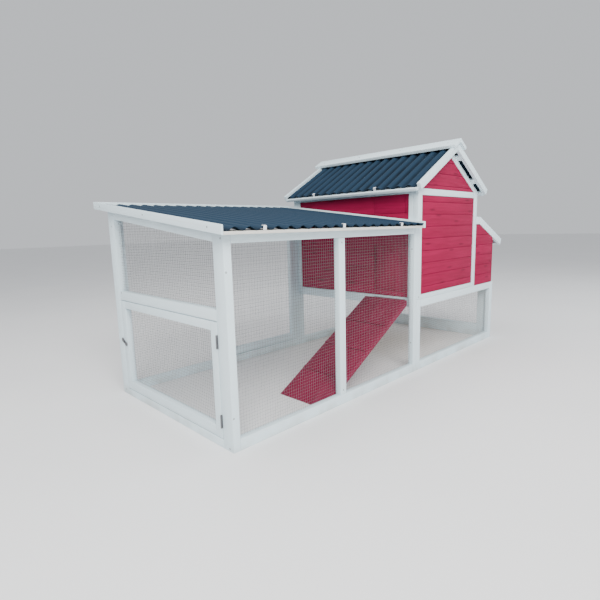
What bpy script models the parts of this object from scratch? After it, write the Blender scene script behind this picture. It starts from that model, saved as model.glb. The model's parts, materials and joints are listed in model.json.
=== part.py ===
"""Wooden chicken coop: a wire-mesh run under a lean-to roof, a raised plank house with a
gable roof, a nest box with a hinged lid on its far end, and a ramp between run and house.

The coop is laid out from the run's near bottom corner: +X along its length, +Y from the
near side to the back, +Z up, all in metres. TO_CENTRE then moves every piece, so that the
origin is on the ground under the middle of the coop. A piece is named for what it is.
"""
import math

import bmesh
import bpy
from mathutils import Vector

# ---- driving dimensions, metres ----
GAP = 0.0004               # clear space between two pieces that touch
WIDTH = 0.915              # near face to back face of the frames
FRAME = 0.028              # thickness of the framed panels
END_FRAME = 0.032          # thickness of the panel at the run's end
RAIL = 0.042               # usual width of a rail or post
BOARD = 0.012              # thickness of plank walls and floors
BOARD_RECESS = 0.003       # how far planks sit behind their frame's face
MESH_DEPTH = 0.018         # outer face of a frame to its wire mesh
MESH_SHEET = 0.0008        # thickness of the sheet that stands for the wires
EASE = 0.0012              # eased edge of a sawn timber

RUN_LENGTH = 1.216         # run's end face to the house wall
HOUSE_LENGTH = 0.700
NEST_END = 2.190           # outer face of the nest box
BASE_END = 2.205           # outer face of the base's far end

BOTTOM_RAIL = 0.044        # height of the lowest rail on the long sides
BASE_OPENING_TOP = 0.347   # top of the opening under the house
BASE_TOP = 0.389           # top of the base frames, where the house stands
SILL_TOP = 0.414           # top of the house's lowest rail

EAVE_Z = 0.773             # underside of the run roof at the near face
RUN_PITCH = 0.1262         # rise of the run roof for each metre towards the back
RUN_OVERHANG_NEAR = 0.046
RUN_OVERHANG_BACK = 0.069
RUN_OVERHANG_END = 0.035
FASCIA = 0.018             # thickness of the run roof's edge boards
END_FASCIA = 0.008         # the one at the run's end is thinner
FASCIA_HEIGHT = 0.033
BATTEN = 0.011             # thickness of the run roof's battens

SHEET = 0.0016             # thickness of a corrugated sheet
WAVE_DEPTH = 0.014         # trough to crest of a corrugated sheet, without its thickness
WAVE_PITCH = 0.0625
RUN_WAVE_START = -0.013    # where the run sheet's first wave begins, from its edge
WAVE_STEPS = 8             # straight facets in one wave

HOUSE_PITCH = 0.589        # rise of the house roof for each metre towards the ridge
RAFTER_APEX = 1.183        # height of the rafters' meeting point, top side
RAFTER = 0.030             # width of a rafter, square to the slope
TIE_BOTTOM = 0.936
TIE_TOP = 0.970
PURLIN = 0.0152            # thickness of a purlin
BARGE = 0.0355             # width of a barge board, square to the slope
BARGE_THICK = 0.019
BARGE_OVERHANG = 0.039     # barge board's outer face beyond the gable wall
ROOF_HALF = 0.400          # ridge line to the eave, measured level
RIDGE_BOARD = 0.070        # width of a ridge board
RIDGE_THICK = 0.018
RIDGE_OVERHANG_NEAR = 0.052
RIDGE_OVERHANG_BACK = 0.069

LID_HINGE_X = 1.970        # nest lid's hinge line
LID_HINGE_Z = 0.824
LID_PITCH = 0.4245         # fall of the lid for each metre outwards
LID_LENGTH = 0.386         # along the slope
LID_BOARD = 0.042          # width of the lid's side boards, square to the slope
LID_THICK = 0.018

RAMP_TOP_X = 1.173         # ramp's hinge line, in front of the house wall
RAMP_TOP_Z = 0.391
RAMP_FOOT_X = 0.4965
RAMP_NEAR = 0.032
RAMP_WIDTH = 0.272
RAMP_BOARD = 0.012
RAMP_SIDE = (0.020, 0.025)  # width and depth of the runners along its sides
HANGER = (0.200, 0.003)    # width and thickness of the plate the ramp hangs from
CLEAT_PLACES = (0.265, 0.51, 0.755)   # share of the ramp's length, from its top
CLEAT_SIZE = (0.020, 0.008)
CLEAT_INSET = 0.006

POP_NEAR = 0.080           # pop hole in the house's run wall
POP_WIDTH = 0.200
POP_BOTTOM = 0.425
POP_TOP = 0.675

# ---- places worked out from the dimensions ----
HOUSE_X = RUN_LENGTH
HOUSE_END = HOUSE_X + HOUSE_LENGTH
RIDGE_X = HOUSE_X + HOUSE_LENGTH / 2
BACK = WIDTH - FRAME
RUN_ROOF_END = -RUN_OVERHANG_END
RUN_ROOF_HOUSE = HOUSE_X - 0.002
RUN_ROOF_NEAR = -RUN_OVERHANG_NEAR
RUN_ROOF_BACK = WIDTH + RUN_OVERHANG_BACK
LID_ANGLE = math.atan(LID_PITCH)
HOUSE_ANGLE = math.atan(HOUSE_PITCH)
LID_END_X = LID_HINGE_X + LID_LENGTH * math.cos(LID_ANGLE)
TO_CENTRE = Vector((-(LID_END_X + RUN_ROOF_END) / 2, -(RUN_ROOF_BACK - RIDGE_OVERHANG_NEAR) / 2, 0.0))

COLOURS = {
    "white_timber": ((0.80, 0.84, 0.86, 1.0), 0.55, 0.0),
    "red_planks": ((0.42, 0.025, 0.085, 1.0), 0.60, 0.0),
    "raw_timber": ((0.55, 0.40, 0.25, 1.0), 0.70, 0.0),
    "roof_sheet": ((0.030, 0.055, 0.085, 1.0), 0.45, 0.0),
    "wire_mesh": ((0.55, 0.57, 0.58, 1.0), 0.40, 1.0),
    "hardware": ((0.20, 0.20, 0.21, 1.0), 0.40, 1.0),
}


def clear_scene():
    for item in list(bpy.data.objects):
        bpy.data.objects.remove(item, do_unlink=True)


def make_collection(name):
    collection = bpy.data.collections.new(name)
    bpy.context.scene.collection.children.link(collection)
    return collection


def make_material(name, finish):
    colour, roughness, metallic = COLOURS[finish]
    material = bpy.data.materials.new(name)
    material.use_nodes = True
    shader = material.node_tree.nodes["Principled BSDF"]
    shader.inputs["Base Color"].default_value = colour
    shader.inputs["Roughness"].default_value = roughness
    shader.inputs["Metallic"].default_value = metallic
    material.diffuse_color = colour
    return material


clear_scene()
COOP = make_collection("chicken_coop")


def run_underside(y):
    """Height of the run roof's underside at a place across the coop."""
    return EAVE_Z + RUN_PITCH * y


def rafter_top(x):
    """Height of the top side of the house's rafters at a place along the coop."""
    return RAFTER_APEX - HOUSE_PITCH * abs(x - RIDGE_X)


def lid_top(x):
    """Height of the nest lid's upper edge at a place along the coop."""
    return LID_HINGE_Z - LID_PITCH * (x - LID_HINGE_X)


def add_object(name, data, finish, location=(0, 0, 0), rotation=(0, 0, 0)):
    item = bpy.data.objects.new(name, data)
    item.location = Vector(location) + TO_CENTRE
    item.rotation_euler = rotation
    data.materials.append(make_material(name, finish))
    COOP.objects.link(item)
    return item


def ease_edges(item, width=EASE):
    weld = item.modifiers.new("weld", "WELD")
    weld.merge_threshold = 0.00002
    bevel = item.modifiers.new("eased_edges", "BEVEL")
    bevel.width = width
    bevel.segments = 1
    bevel.limit_method = "ANGLE"
    return item


def box(name, low, high, finish, pivot=None, turn=0.0, ease=EASE):
    """A sawn timber or board between two corners, drawn in by half a gap on every side.

    With a turn, the corners are measured from the pivot and the box leans about Y there.
    """
    shrink = [0 if value == 0.0 and axis == 2 and pivot is None else GAP / 2
              for axis, value in enumerate(low)]
    low = Vector(low[i] + shrink[i] for i in range(3))
    high = Vector(high[i] - GAP / 2 for i in range(3))
    mesh = bpy.data.meshes.new(name)
    shape = bmesh.new()
    bmesh.ops.create_cube(shape, size=1.0)
    bmesh.ops.scale(shape, vec=high - low, verts=shape.verts)
    bmesh.ops.translate(shape, vec=(low + high) / 2, verts=shape.verts)
    shape.to_mesh(mesh)
    shape.free()
    item = add_object(name, mesh, finish, pivot or (0, 0, 0), (0, turn, 0))
    return ease_edges(item, ease) if ease else item


def outline_curve(name, outlines, thickness):
    curve = bpy.data.curves.new(name, "CURVE")
    curve.dimensions = "2D"
    curve.fill_mode = "BOTH"
    curve.extrude = thickness / 2
    for outline in outlines:
        spline = curve.splines.new("POLY")
        spline.points.add(len(outline) - 1)
        for point, (across, up) in zip(spline.points, outline):
            point.co = (across, up, 0.0, 1.0)
        spline.use_cyclic_u = True
    return curve


def panel_xz(name, outlines, near, back, finish, ease=EASE):
    """A flat piece that faces -Y: its outline and holes are in X and Z."""
    curve = outline_curve(name, outlines, back - near - GAP)
    item = add_object(name, curve, finish, (0, (near + back) / 2, 0), (math.pi / 2, 0, 0))
    return ease_edges(item, ease) if ease and len(outlines) == 1 else item


def panel_yz(name, outlines, start, end, finish, ease=EASE):
    """A flat piece that faces along X: its outline and holes are in Y and Z."""
    curve = outline_curve(name, outlines, end - start - GAP)
    turn = (math.pi / 2, 0, math.pi / 2)
    item = add_object(name, curve, finish, ((start + end) / 2, 0, 0), turn)
    return ease_edges(item, ease) if ease and len(outlines) == 1 else item


def rectangle(left, right, bottom, top, inset=0.0):
    return [(left + inset, bottom + inset), (right - inset, bottom + inset),
            (right - inset, top - inset), (left + inset, top - inset)]


def sloped(left, right, bottom, top, height, inset=0.0):
    """A four-cornered outline whose top and bottom may both lean."""
    low_left, low_right = bottom
    return [(left + inset, low_left + inset), (right - inset, low_right + inset),
            (right - inset, top(right) - height - inset), (left + inset, top(left) - height - inset)]


def frozen_mesh(item):
    """A plain mesh of an object with its curve and modifiers worked out, in the world."""
    bpy.context.view_layer.update()
    shown = item.evaluated_get(bpy.context.evaluated_depsgraph_get())
    mesh = bpy.data.meshes.new_from_object(shown)
    shape = bmesh.new()
    shape.from_mesh(mesh)
    bmesh.ops.remove_doubles(shape, verts=shape.verts, dist=0.00001)
    shape.transform(item.matrix_world)
    shape.to_mesh(mesh)
    shape.free()
    return mesh


def fuse(name, pieces, finish, hollow=None):
    """Join overlapping pieces into one closed solid, the first with 'hollow' cut out of it."""
    steps = [(pieces[0], None)]
    if hollow:
        steps.append((hollow, "DIFFERENCE"))
    steps += [(piece, "UNION") for piece in pieces[1:]]
    meshes = [frozen_mesh(piece) for piece, _ in steps]
    for piece, _ in steps:
        bpy.data.objects.remove(piece, do_unlink=True)
    solids = [bpy.data.objects.new(name, mesh) for mesh in meshes]
    for solid in solids:
        COOP.objects.link(solid)
    body = solids[0]
    for other, (_, operation) in zip(solids[1:], steps[1:]):
        join = body.modifiers.new("join", "BOOLEAN")
        join.operation = operation
        join.object = other
    bpy.context.view_layer.update()
    shown = body.evaluated_get(bpy.context.evaluated_depsgraph_get())
    joined = bpy.data.meshes.new_from_object(shown)
    for solid in solids:
        bpy.data.objects.remove(solid, do_unlink=True)
    joined.materials.clear()
    joined.materials.append(make_material(name, finish))
    item = bpy.data.objects.new(name, joined)
    COOP.objects.link(item)
    return item


def move_origin(item, place):
    """Put a moving piece's origin on its joint's axis, leaving its shape where it is."""
    bpy.context.view_layer.update()
    target = Vector(place) + TO_CENTRE
    if item.type == "CURVE" or item.modifiers:
        frozen = frozen_mesh(item)
        name = item.name
        material = item.data.materials[0]
        bpy.data.objects.remove(item, do_unlink=True)
        frozen.materials.clear()
        frozen.materials.append(material)
        item = bpy.data.objects.new(name, frozen)
        COOP.objects.link(item)
    for vertex in item.data.vertices:
        vertex.co -= target
    item.location = target
    return item


# ---- wire mesh and corrugated sheets ----
def mesh_xz(name, left, right, bottom, top, depth):
    outline = rectangle(left, right, bottom, top, GAP)
    return panel_xz(name, [outline], depth, depth + MESH_SHEET, "wire_mesh", ease=0)


def mesh_yz(name, outline, depth):
    return panel_yz(name, [outline], depth, depth + MESH_SHEET, "wire_mesh", ease=0)


def wave_outline(length, start=0.0):
    """Closed section of a corrugated sheet; height 0 is the underside of its troughs."""
    steps = round(length / WAVE_PITCH * WAVE_STEPS)
    along = [length * i / steps for i in range(steps + 1)]
    heights = [WAVE_DEPTH / 2 * (1 - math.cos(2 * math.pi * (x + start) / WAVE_PITCH)) for x in along]
    under = list(zip(along, heights))
    over = [(x, height + SHEET) for x, height in under]
    return under + over[::-1]


def corrugated(name, length, run, origin, along, down, start=0.0):
    """A corrugated sheet: waves follow one another along 'along', ridges run along 'down'."""
    curve = outline_curve(name, [wave_outline(length, start)], run)
    along = Vector(along).normalized()
    down = Vector(down).normalized()
    up = down.cross(along)
    item = add_object(name, curve, "roof_sheet")
    matrix = item.matrix_world.to_3x3()
    matrix.col[0] = along
    matrix.col[1] = up
    matrix.col[2] = down
    item.rotation_euler = matrix.to_euler()
    item.location = Vector(origin) + down * run / 2 + TO_CENTRE
    return item


# ---- the run's end panel, with its door ----
STILE = 0.060
FAR_STILE = 0.857
DOOR_BAY_BOTTOM = 0.033
DOOR_BAY_TOP = 0.470
MID_RAIL_TOP = 0.511
END_TOP_RAIL = 0.036
DOOR_CLEAR = 0.003
DOOR_MEMBER = 0.041


def run_end_panel():
    near = sloped(0.0, STILE, (0.0, 0.0), run_underside, GAP)
    far = sloped(FAR_STILE, WIDTH, (0.0, 0.0), run_underside, GAP)
    panel_yz("run_end_near_stile", [near], 0.0, END_FRAME, "white_timber")
    panel_yz("run_end_far_stile", [far], 0.0, END_FRAME, "white_timber")
    box("run_end_bottom_rail", (0, STILE, 0), (END_FRAME, FAR_STILE, DOOR_BAY_BOTTOM), "white_timber")
    box("run_end_mid_rail", (0, STILE, DOOR_BAY_TOP), (END_FRAME, FAR_STILE, MID_RAIL_TOP), "white_timber")
    left, right = STILE + GAP, FAR_STILE - GAP
    under = (run_underside(left) - END_TOP_RAIL, run_underside(right) - END_TOP_RAIL)
    panel_yz("run_end_top_rail", [sloped(left, right, under, run_underside, GAP)],
             0.0, END_FRAME, "white_timber")
    window = sloped(STILE, FAR_STILE, (MID_RAIL_TOP, MID_RAIL_TOP), run_underside, END_TOP_RAIL, GAP)
    mesh_yz("run_end_mesh", window, MESH_DEPTH)


HINGE_LENGTH = 0.050
HINGE_RADIUS = 0.0035
DOOR_PIN = (-0.0042, 0.0615)
DOOR_HINGE_HEIGHTS = {"upper": 0.397, "lower": 0.103}
LEAF = 0.001
LEAF_WIDTH = 0.024


def cylinder(name, radius, length, centre, finish, turn=(0, 0, 0), sides=12):
    mesh = bpy.data.meshes.new(name)
    shape = bmesh.new()
    bmesh.ops.create_cone(shape, cap_ends=True, segments=sides,
                          radius1=radius, radius2=radius, depth=length)
    shape.to_mesh(mesh)
    shape.free()
    return add_object(name, mesh, finish, centre, turn)


def butt_hinge(name, height):
    """Hinge of the run door: the leaf let into the stile's edge, and the pin's barrel."""
    x, y = DOOR_PIN
    barrel = cylinder(name + "_barrel", HINGE_RADIUS, HINGE_LENGTH, (x, y, height), "hardware")
    leaf_y = STILE + LEAF / 2 + GAP / 2
    half = HINGE_LENGTH / 2
    leaf = box(name + "_leaf", (x, leaf_y - LEAF / 2, height - half),
               (LEAF_WIDTH, leaf_y + LEAF, height + half), "hardware", ease=0)
    fuse(name, [barrel, leaf], "hardware")


BUTTON_INSET = 0.006       # door's edge to the button's screw
BUTTON_WAIST = 0.0045      # half width at the screw
BUTTON_END = 0.0095        # half width at the round ends
BUTTON_REACH = 0.019       # screw to the centre of a round end
BUTTON_THICK = 0.003
BUTTON_STANDOFF = 0.0015
BUTTON_LEAN = math.radians(27)
SCREW_HEAD = 0.005
ARC_STEPS = 6


def turn_button(name, pivot, across, outward):
    """A waisted bar with a screw through its middle, carried by a door, half turned at rest.

    'across' is the unit direction from the screw to the frame, which the bar's upper end
    leans to, and 'outward' the one out of the door's face.
    """
    outline = []
    for centre, first, waist in ((BUTTON_REACH, -90, BUTTON_WAIST), (-BUTTON_REACH, 90, -BUTTON_WAIST)):
        for step in range(ARC_STEPS + 1):
            angle = math.radians(first + 180 * step / ARC_STEPS)
            outline.append((centre + BUTTON_END * math.cos(angle), BUTTON_END * math.sin(angle)))
        outline.append((0.0, waist))
    bar = add_object(name + "_bar", outline_curve(name, [outline], BUTTON_THICK), "hardware")
    across, outward = Vector(across), Vector(outward)
    bar_way = across * math.cos(BUTTON_LEAN) + Vector((0, 0, math.sin(BUTTON_LEAN)))
    matrix = bar.matrix_world.to_3x3()
    matrix.col[0] = bar_way
    matrix.col[1] = outward.cross(bar_way)
    matrix.col[2] = outward
    turn = matrix.to_euler()
    bar.rotation_euler = turn
    bar.location = Vector(pivot) + outward * (BUTTON_STANDOFF + BUTTON_THICK / 2) + TO_CENTRE
    head_length = BUTTON_STANDOFF + BUTTON_THICK + 0.002 - GAP
    middle = Vector(pivot) + outward * (GAP + head_length / 2)
    head = cylinder(name + "_screw", SCREW_HEAD, head_length, middle, "hardware", turn)
    move_origin(fuse(name, [bar, head], "hardware"), pivot)


def run_door():
    left, right = STILE + DOOR_CLEAR, FAR_STILE - DOOR_CLEAR
    bottom, top = DOOR_BAY_BOTTOM + DOOR_CLEAR, DOOR_BAY_TOP - DOOR_CLEAR
    opening = (left + DOOR_MEMBER, right - DOOR_MEMBER, bottom + DOOR_MEMBER, top - 0.034)
    pin = (DOOR_PIN[0], DOOR_PIN[1], 0.0)
    door = panel_yz("run_door_frame", [rectangle(left, right, bottom, top), rectangle(*opening)],
                    0.0, FRAME, "white_timber")
    move_origin(door, pin)
    move_origin(mesh_yz("run_door_mesh", rectangle(*opening, GAP), MESH_DEPTH), pin)
    for place, height in DOOR_HINGE_HEIGHTS.items():
        butt_hinge("run_door_hinge_" + place, height)
    turn_button("run_door_button", (0.0, right - BUTTON_INSET, 0.267), (0, 1, 0), (-1, 0, 0))


# ---- the run's long sides ----
MID_POST = (0.586, 0.626)
END_POST = 1.186
TOP_RAIL_BOTTOM = 0.738
BACK_STILE = 0.058
BACK_TOP_RAIL = 0.034


def run_front():
    top = EAVE_Z - 0.0006
    box("run_front_bottom_rail", (END_FRAME, 0, 0), (END_POST, FRAME, BOTTOM_RAIL), "white_timber")
    box("run_front_top_rail", (END_FRAME, 0, TOP_RAIL_BOTTOM), (END_POST, FRAME, top), "white_timber")
    box("run_front_mid_post", (MID_POST[0], 0, BOTTOM_RAIL), (MID_POST[1], FRAME, TOP_RAIL_BOTTOM),
        "white_timber")
    box("run_front_end_post", (END_POST, 0, 0), (HOUSE_X, FRAME, top), "white_timber")
    mesh_xz("run_front_mesh_end", END_FRAME, MID_POST[0], BOTTOM_RAIL, TOP_RAIL_BOTTOM, MESH_DEPTH)
    mesh_xz("run_front_mesh_house", MID_POST[1], END_POST, BOTTOM_RAIL, TOP_RAIL_BOTTOM, MESH_DEPTH)


def run_back():
    top = run_underside(BACK) - 0.001
    opening_top = top - BACK_TOP_RAIL
    bays = [(BACK_STILE, MID_POST[0]), (MID_POST[1], END_POST)]
    holes = [rectangle(left, right, BOTTOM_RAIL, opening_top) for left, right in bays]
    outer = rectangle(END_FRAME + GAP, HOUSE_X - GAP, 0.0, top)
    panel_xz("run_back_frame", [outer] + holes, BACK, WIDTH, "white_timber")
    depth = WIDTH - MESH_DEPTH - MESH_SHEET
    mesh_xz("run_back_mesh", *bays[0], BOTTOM_RAIL, opening_top, depth)
    left, right = bays[1][0] + DOOR_CLEAR, bays[1][1] - DOOR_CLEAR
    bottom, top = BOTTOM_RAIL + DOOR_CLEAR, opening_top - DOOR_CLEAR
    inside = (left + DOOR_MEMBER, right - DOOR_MEMBER, bottom + DOOR_MEMBER, top - DOOR_MEMBER)
    pin = (bays[1][0] + DOOR_CLEAR / 2, WIDTH + HINGE_RADIUS, 0.0)
    door = panel_xz("run_back_door_frame", [rectangle(left, right, bottom, top), rectangle(*inside)],
                    BACK, WIDTH, "white_timber")
    move_origin(door, pin)
    move_origin(mesh_xz("run_back_door_mesh", *inside, depth), pin)
    turn_button("run_back_door_button", (right - BUTTON_INSET, WIDTH, 0.450), (1, 0, 0), (0, 1, 0))


# ---- the run's roof ----
def run_roof_strip(name, near, back, start, end, bottom, height, finish="white_timber"):
    """A board of the run roof: its long faces lean with the roof, its ends are plumb."""
    outline = [(near, run_underside(near) + bottom), (back, run_underside(back) + bottom),
               (back, run_underside(back) + bottom + height), (near, run_underside(near) + bottom + height)]
    panel_yz(name, [outline], start, end, finish)


def run_roof():
    inner_end = RUN_ROOF_END + END_FASCIA
    inner_house = RUN_ROOF_HOUSE - FASCIA
    inner_back = RUN_ROOF_BACK - FASCIA
    run_roof_strip("run_roof_end_fascia", RUN_ROOF_NEAR, RUN_ROOF_BACK, RUN_ROOF_END, inner_end,
                   0.0, FASCIA_HEIGHT)
    run_roof_strip("run_roof_house_fascia", RUN_ROOF_NEAR, RUN_ROOF_BACK, inner_house, RUN_ROOF_HOUSE,
                   0.0, FASCIA_HEIGHT)
    run_roof_strip("run_roof_back_fascia", inner_back + GAP, RUN_ROOF_BACK, inner_end, inner_house,
                   0.0, FASCIA_HEIGHT)
    run_roof_strip("run_roof_eave_batten", RUN_ROOF_NEAR, RUN_ROOF_NEAR + RAIL, inner_end, inner_house,
                   0.0, BATTEN)
    middle = (RUN_ROOF_NEAR + RUN_ROOF_BACK) / 2
    run_roof_strip("run_roof_mid_batten", middle - RAIL / 2, middle + RAIL / 2, inner_end, inner_house,
                   0.0, BATTEN)
    run = (inner_back - RUN_ROOF_NEAR) * math.hypot(1, RUN_PITCH) - 2 * GAP
    foot = (inner_end + GAP, RUN_ROOF_NEAR, run_underside(RUN_ROOF_NEAR) + BATTEN + GAP)
    length = inner_house - inner_end - 2 * GAP
    up_slope = Vector((0, 1, RUN_PITCH)).normalized()
    corrugated("run_roof_sheet", length, run, Vector(foot) + up_slope * run, (1, 0, 0), -up_slope,
               RUN_WAVE_START)


# ---- the base under the house and the nest box ----
BASE_END_POST = 0.045
END_STILE = 0.060
END_BOTTOM_RAIL = 0.082


def base():
    left, right = HOUSE_X, BASE_END
    opening = (left + RAIL, right - BASE_END_POST, BOTTOM_RAIL, BASE_OPENING_TOP)
    outer = rectangle(left + GAP, right, 0.0, BASE_TOP)
    for side, near, depth in (("front", 0.0, MESH_DEPTH), ("back", BACK, WIDTH - MESH_DEPTH - MESH_SHEET)):
        panel_xz("base_%s_frame" % side, [outer, rectangle(*opening)], near, near + FRAME, "white_timber")
        mesh_xz("base_%s_mesh" % side, *opening, depth)
    inner = (FRAME + GAP, BACK - GAP)
    window = (inner[0] + END_STILE, inner[1] - END_STILE, END_BOTTOM_RAIL, BASE_OPENING_TOP)
    end_outer = rectangle(*inner, 0.0, BASE_TOP)
    panel_yz("base_end_frame", [end_outer, rectangle(*window)], right - FRAME, right, "white_timber")
    mesh_yz("base_end_mesh", rectangle(*window, GAP), right - MESH_DEPTH - MESH_SHEET)


# ---- the house ----
def gable_frame(name, near, left, right):
    """Posts, sill, tie and rafters of a gable wall, as one framed panel."""
    wall_top = rafter_top(left) - GAP
    apex = RAFTER_APEX - GAP
    inner_apex = RAFTER_APEX - RAFTER / math.cos(HOUSE_ANGLE)
    half = (inner_apex - TIE_TOP) / HOUSE_PITCH
    outer = [(left, BASE_TOP + GAP), (right, BASE_TOP + GAP), (right, wall_top), (RIDGE_X, apex),
             (left, wall_top)]
    wall = (left + RAIL, right - RAIL, SILL_TOP, TIE_BOTTOM)
    gable = [(RIDGE_X - half, TIE_TOP), (RIDGE_X + half, TIE_TOP), (RIDGE_X, inner_apex)]
    panel_xz(name, [outer, rectangle(*wall), gable], near, near + FRAME, "white_timber")
    return wall, inner_apex, half


def gable_infill(name, inner_apex, half, near):
    side_gap = GAP / math.sin(HOUSE_ANGLE)
    outline = [(RIDGE_X - half + side_gap * 2, TIE_TOP + GAP), (RIDGE_X + half - side_gap * 2, TIE_TOP + GAP),
               (RIDGE_X, inner_apex - side_gap)]
    panel_xz(name, [outline], near, near + BOARD, "red_planks", ease=0)


def house_gables():
    left, right = HOUSE_X, HOUSE_END
    wall, inner_apex, half = gable_frame("house_front_frame", 0.0, left, right)
    panel_xz("house_front_planks", [rectangle(*wall, GAP)], BOARD_RECESS, BOARD_RECESS + BOARD,
             "red_planks", ease=0)
    gable_infill("house_front_gable_planks", inner_apex, half, BOARD_RECESS)
    gable_frame("house_back_frame", BACK, left, right)
    back_face = WIDTH - BOARD_RECESS
    gable_infill("house_back_gable_planks", inner_apex, half, back_face - BOARD)
    door = panel_xz("house_back_door", [rectangle(*wall, DOOR_CLEAR)], WIDTH - 0.020, WIDTH, "red_planks")
    move_origin(door, (wall[1] - DOOR_CLEAR / 2, WIDTH + HINGE_RADIUS, 0.0))
    latch_x = wall[0] + DOOR_CLEAR + BUTTON_INSET
    turn_button("house_back_door_button", (latch_x, WIDTH, 0.700), (-1, 0, 0), (0, 1, 0))


RUN_WALL_SILL = 0.396      # top of the rail under the planks of the house's run wall
RUN_WALL_RECESS = 0.005
WALL_TOP_RAIL = 0.945
WALL_TOP = 0.974
WALL_STILE = 0.027
POP_DOOR_LAP = 0.010
POP_DOOR_THICK = 0.009
NEST_OPENING_TOP = 0.770


def house_side_walls():
    inner = (FRAME + GAP, BACK - GAP)
    wall = (inner[0] + WALL_STILE, inner[1] - WALL_STILE, RUN_WALL_SILL, WALL_TOP_RAIL)
    outer = rectangle(*inner, BASE_OPENING_TOP, WALL_TOP)
    panel_yz("house_run_wall_frame", [outer, rectangle(*wall)], HOUSE_X, HOUSE_X + FRAME, "white_timber")
    pop_hole = rectangle(POP_NEAR, POP_NEAR + POP_WIDTH, POP_BOTTOM, POP_TOP)
    face = HOUSE_X + RUN_WALL_RECESS
    panel_yz("house_run_wall_planks", [rectangle(*wall, GAP), pop_hole], face, face + BOARD,
             "red_planks", ease=0)
    lap = POP_DOOR_LAP
    pop = rectangle(POP_NEAR - lap, POP_NEAR + POP_WIDTH + lap, SILL_TOP + GAP, POP_TOP + lap)
    inside = face + BOARD + GAP
    panel_yz("pop_door", [pop], inside, inside + POP_DOOR_THICK, "red_planks")
    outer = rectangle(*inner, BASE_TOP + GAP, WALL_TOP)
    nest_access = rectangle(wall[0], wall[1], SILL_TOP, NEST_OPENING_TOP)
    panel_yz("house_nest_wall", [outer, nest_access], HOUSE_END - FRAME, HOUSE_END, "red_planks")


PERCH_X = RIDGE_X - 0.060
PERCH_Z = 0.610
PERCH_SIZE = 0.038


def house_inside():
    box("house_floor", (HOUSE_X + FRAME, FRAME, BASE_TOP), (HOUSE_END - FRAME, BACK, BASE_TOP + BOARD),
        "raw_timber", ease=0)
    half = PERCH_SIZE / 2
    box("perch", (PERCH_X - half, FRAME, PERCH_Z - half), (PERCH_X + half, WIDTH - 0.021, PERCH_Z + half),
        "raw_timber", ease=0.006)


# ---- the house's roof ----
PURLIN_PLACES = ((0.052, 0.092), (0.284, 0.324), (0.420, 0.458))
SHEET_CLEAR = 0.002        # crest of the sheet below the barge board's upper edge


def slope_box(name, side, near, back, along, above, finish):
    """A box on one slope of the house roof.

    'along' is measured down the slope from the ridge and 'above' square to it from the
    rafters' top side. side is -1 for the slope over the run and +1 for the one over the nest.
    """
    low = (along[0], near, above[0])
    high = (along[1], back, above[1])
    item = box(name, low, high, finish, pivot=(RIDGE_X, 0, RAFTER_APEX), turn=HOUSE_ANGLE)
    if side < 0:
        item.rotation_euler = (0, HOUSE_ANGLE, math.pi)
        item.rotation_mode = "XYZ"
    return item


def barge_outline(side, above):
    """A barge board from the plumb cut at the ridge to the square cut at the eave."""
    slope = Vector((side * math.cos(HOUSE_ANGLE), -math.sin(HOUSE_ANGLE)))
    up = Vector((side * math.sin(HOUSE_ANGLE), math.cos(HOUSE_ANGLE)))
    apex = Vector((RIDGE_X, RAFTER_APEX))
    length = ROOF_HALF / math.cos(HOUSE_ANGLE)
    bottom, top = above
    corners = [apex + Vector((0, bottom / math.cos(HOUSE_ANGLE)))]
    corners.append(apex + slope * (length - top * math.tan(HOUSE_ANGLE)) + up * bottom)
    corners.append(apex + slope * (length - top * math.tan(HOUSE_ANGLE)) + up * top)
    corners.append(apex + Vector((0, top / math.cos(HOUSE_ANGLE))))
    shift = Vector((side * GAP / 2, 0))
    outline = [tuple(corner + shift * (index in (0, 3))) for index, corner in enumerate(corners)]
    return outline if side > 0 else outline[::-1]


def roof_slope(side, label):
    """One slope of the house roof: a frame of barge boards and purlins, and its sheet."""
    lift = (GAP, BARGE)
    near_face = -BARGE_OVERHANG
    back_face = WIDTH + BARGE_OVERHANG
    edges = ((near_face, near_face + BARGE_THICK), (back_face - BARGE_THICK, back_face))
    pieces = [panel_xz("barge_%d" % i, [barge_outline(side, lift)], near, back, "white_timber", ease=0)
              for i, (near, back) in enumerate(edges)]
    mesh_start = near_face + BARGE_THICK / 2
    mesh_end = back_face - BARGE_THICK / 2
    slope = Vector((side * math.cos(HOUSE_ANGLE), 0, -math.sin(HOUSE_ANGLE)))
    up = Vector((side * math.sin(HOUSE_ANGLE), 0, math.cos(HOUSE_ANGLE)))
    apex = Vector((RIDGE_X, 0, RAFTER_APEX))
    for i, (start, end) in enumerate(PURLIN_PLACES):
        corners = [apex + slope * s + up * h for s, h in
                   ((start, GAP), (end, GAP), (end, PURLIN), (start, PURLIN))]
        outline = [(corner.x, corner.z) for corner in corners]
        outline = outline if side > 0 else outline[::-1]
        pieces.append(panel_xz("purlin_%d" % i, [outline], mesh_start, mesh_end, "white_timber", ease=0))
    fuse("roof_frame_" + label, pieces, "white_timber")
    length = edges[1][0] - edges[0][1] - 2 * GAP
    ridge_clear = 0.014
    eave = ROOF_HALF / math.cos(HOUSE_ANGLE) - (PURLIN + WAVE_DEPTH) * math.tan(HOUSE_ANGLE)
    run = eave - ridge_clear
    start = apex + slope * ridge_clear + up * (PURLIN + GAP)
    first_edge = edges[0][1] + GAP if side > 0 else edges[1][0] - GAP
    origin = start + Vector((0, first_edge, 0))
    corrugated("roof_sheet_" + label, length, run, origin, (0, side, 0), slope)


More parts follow.
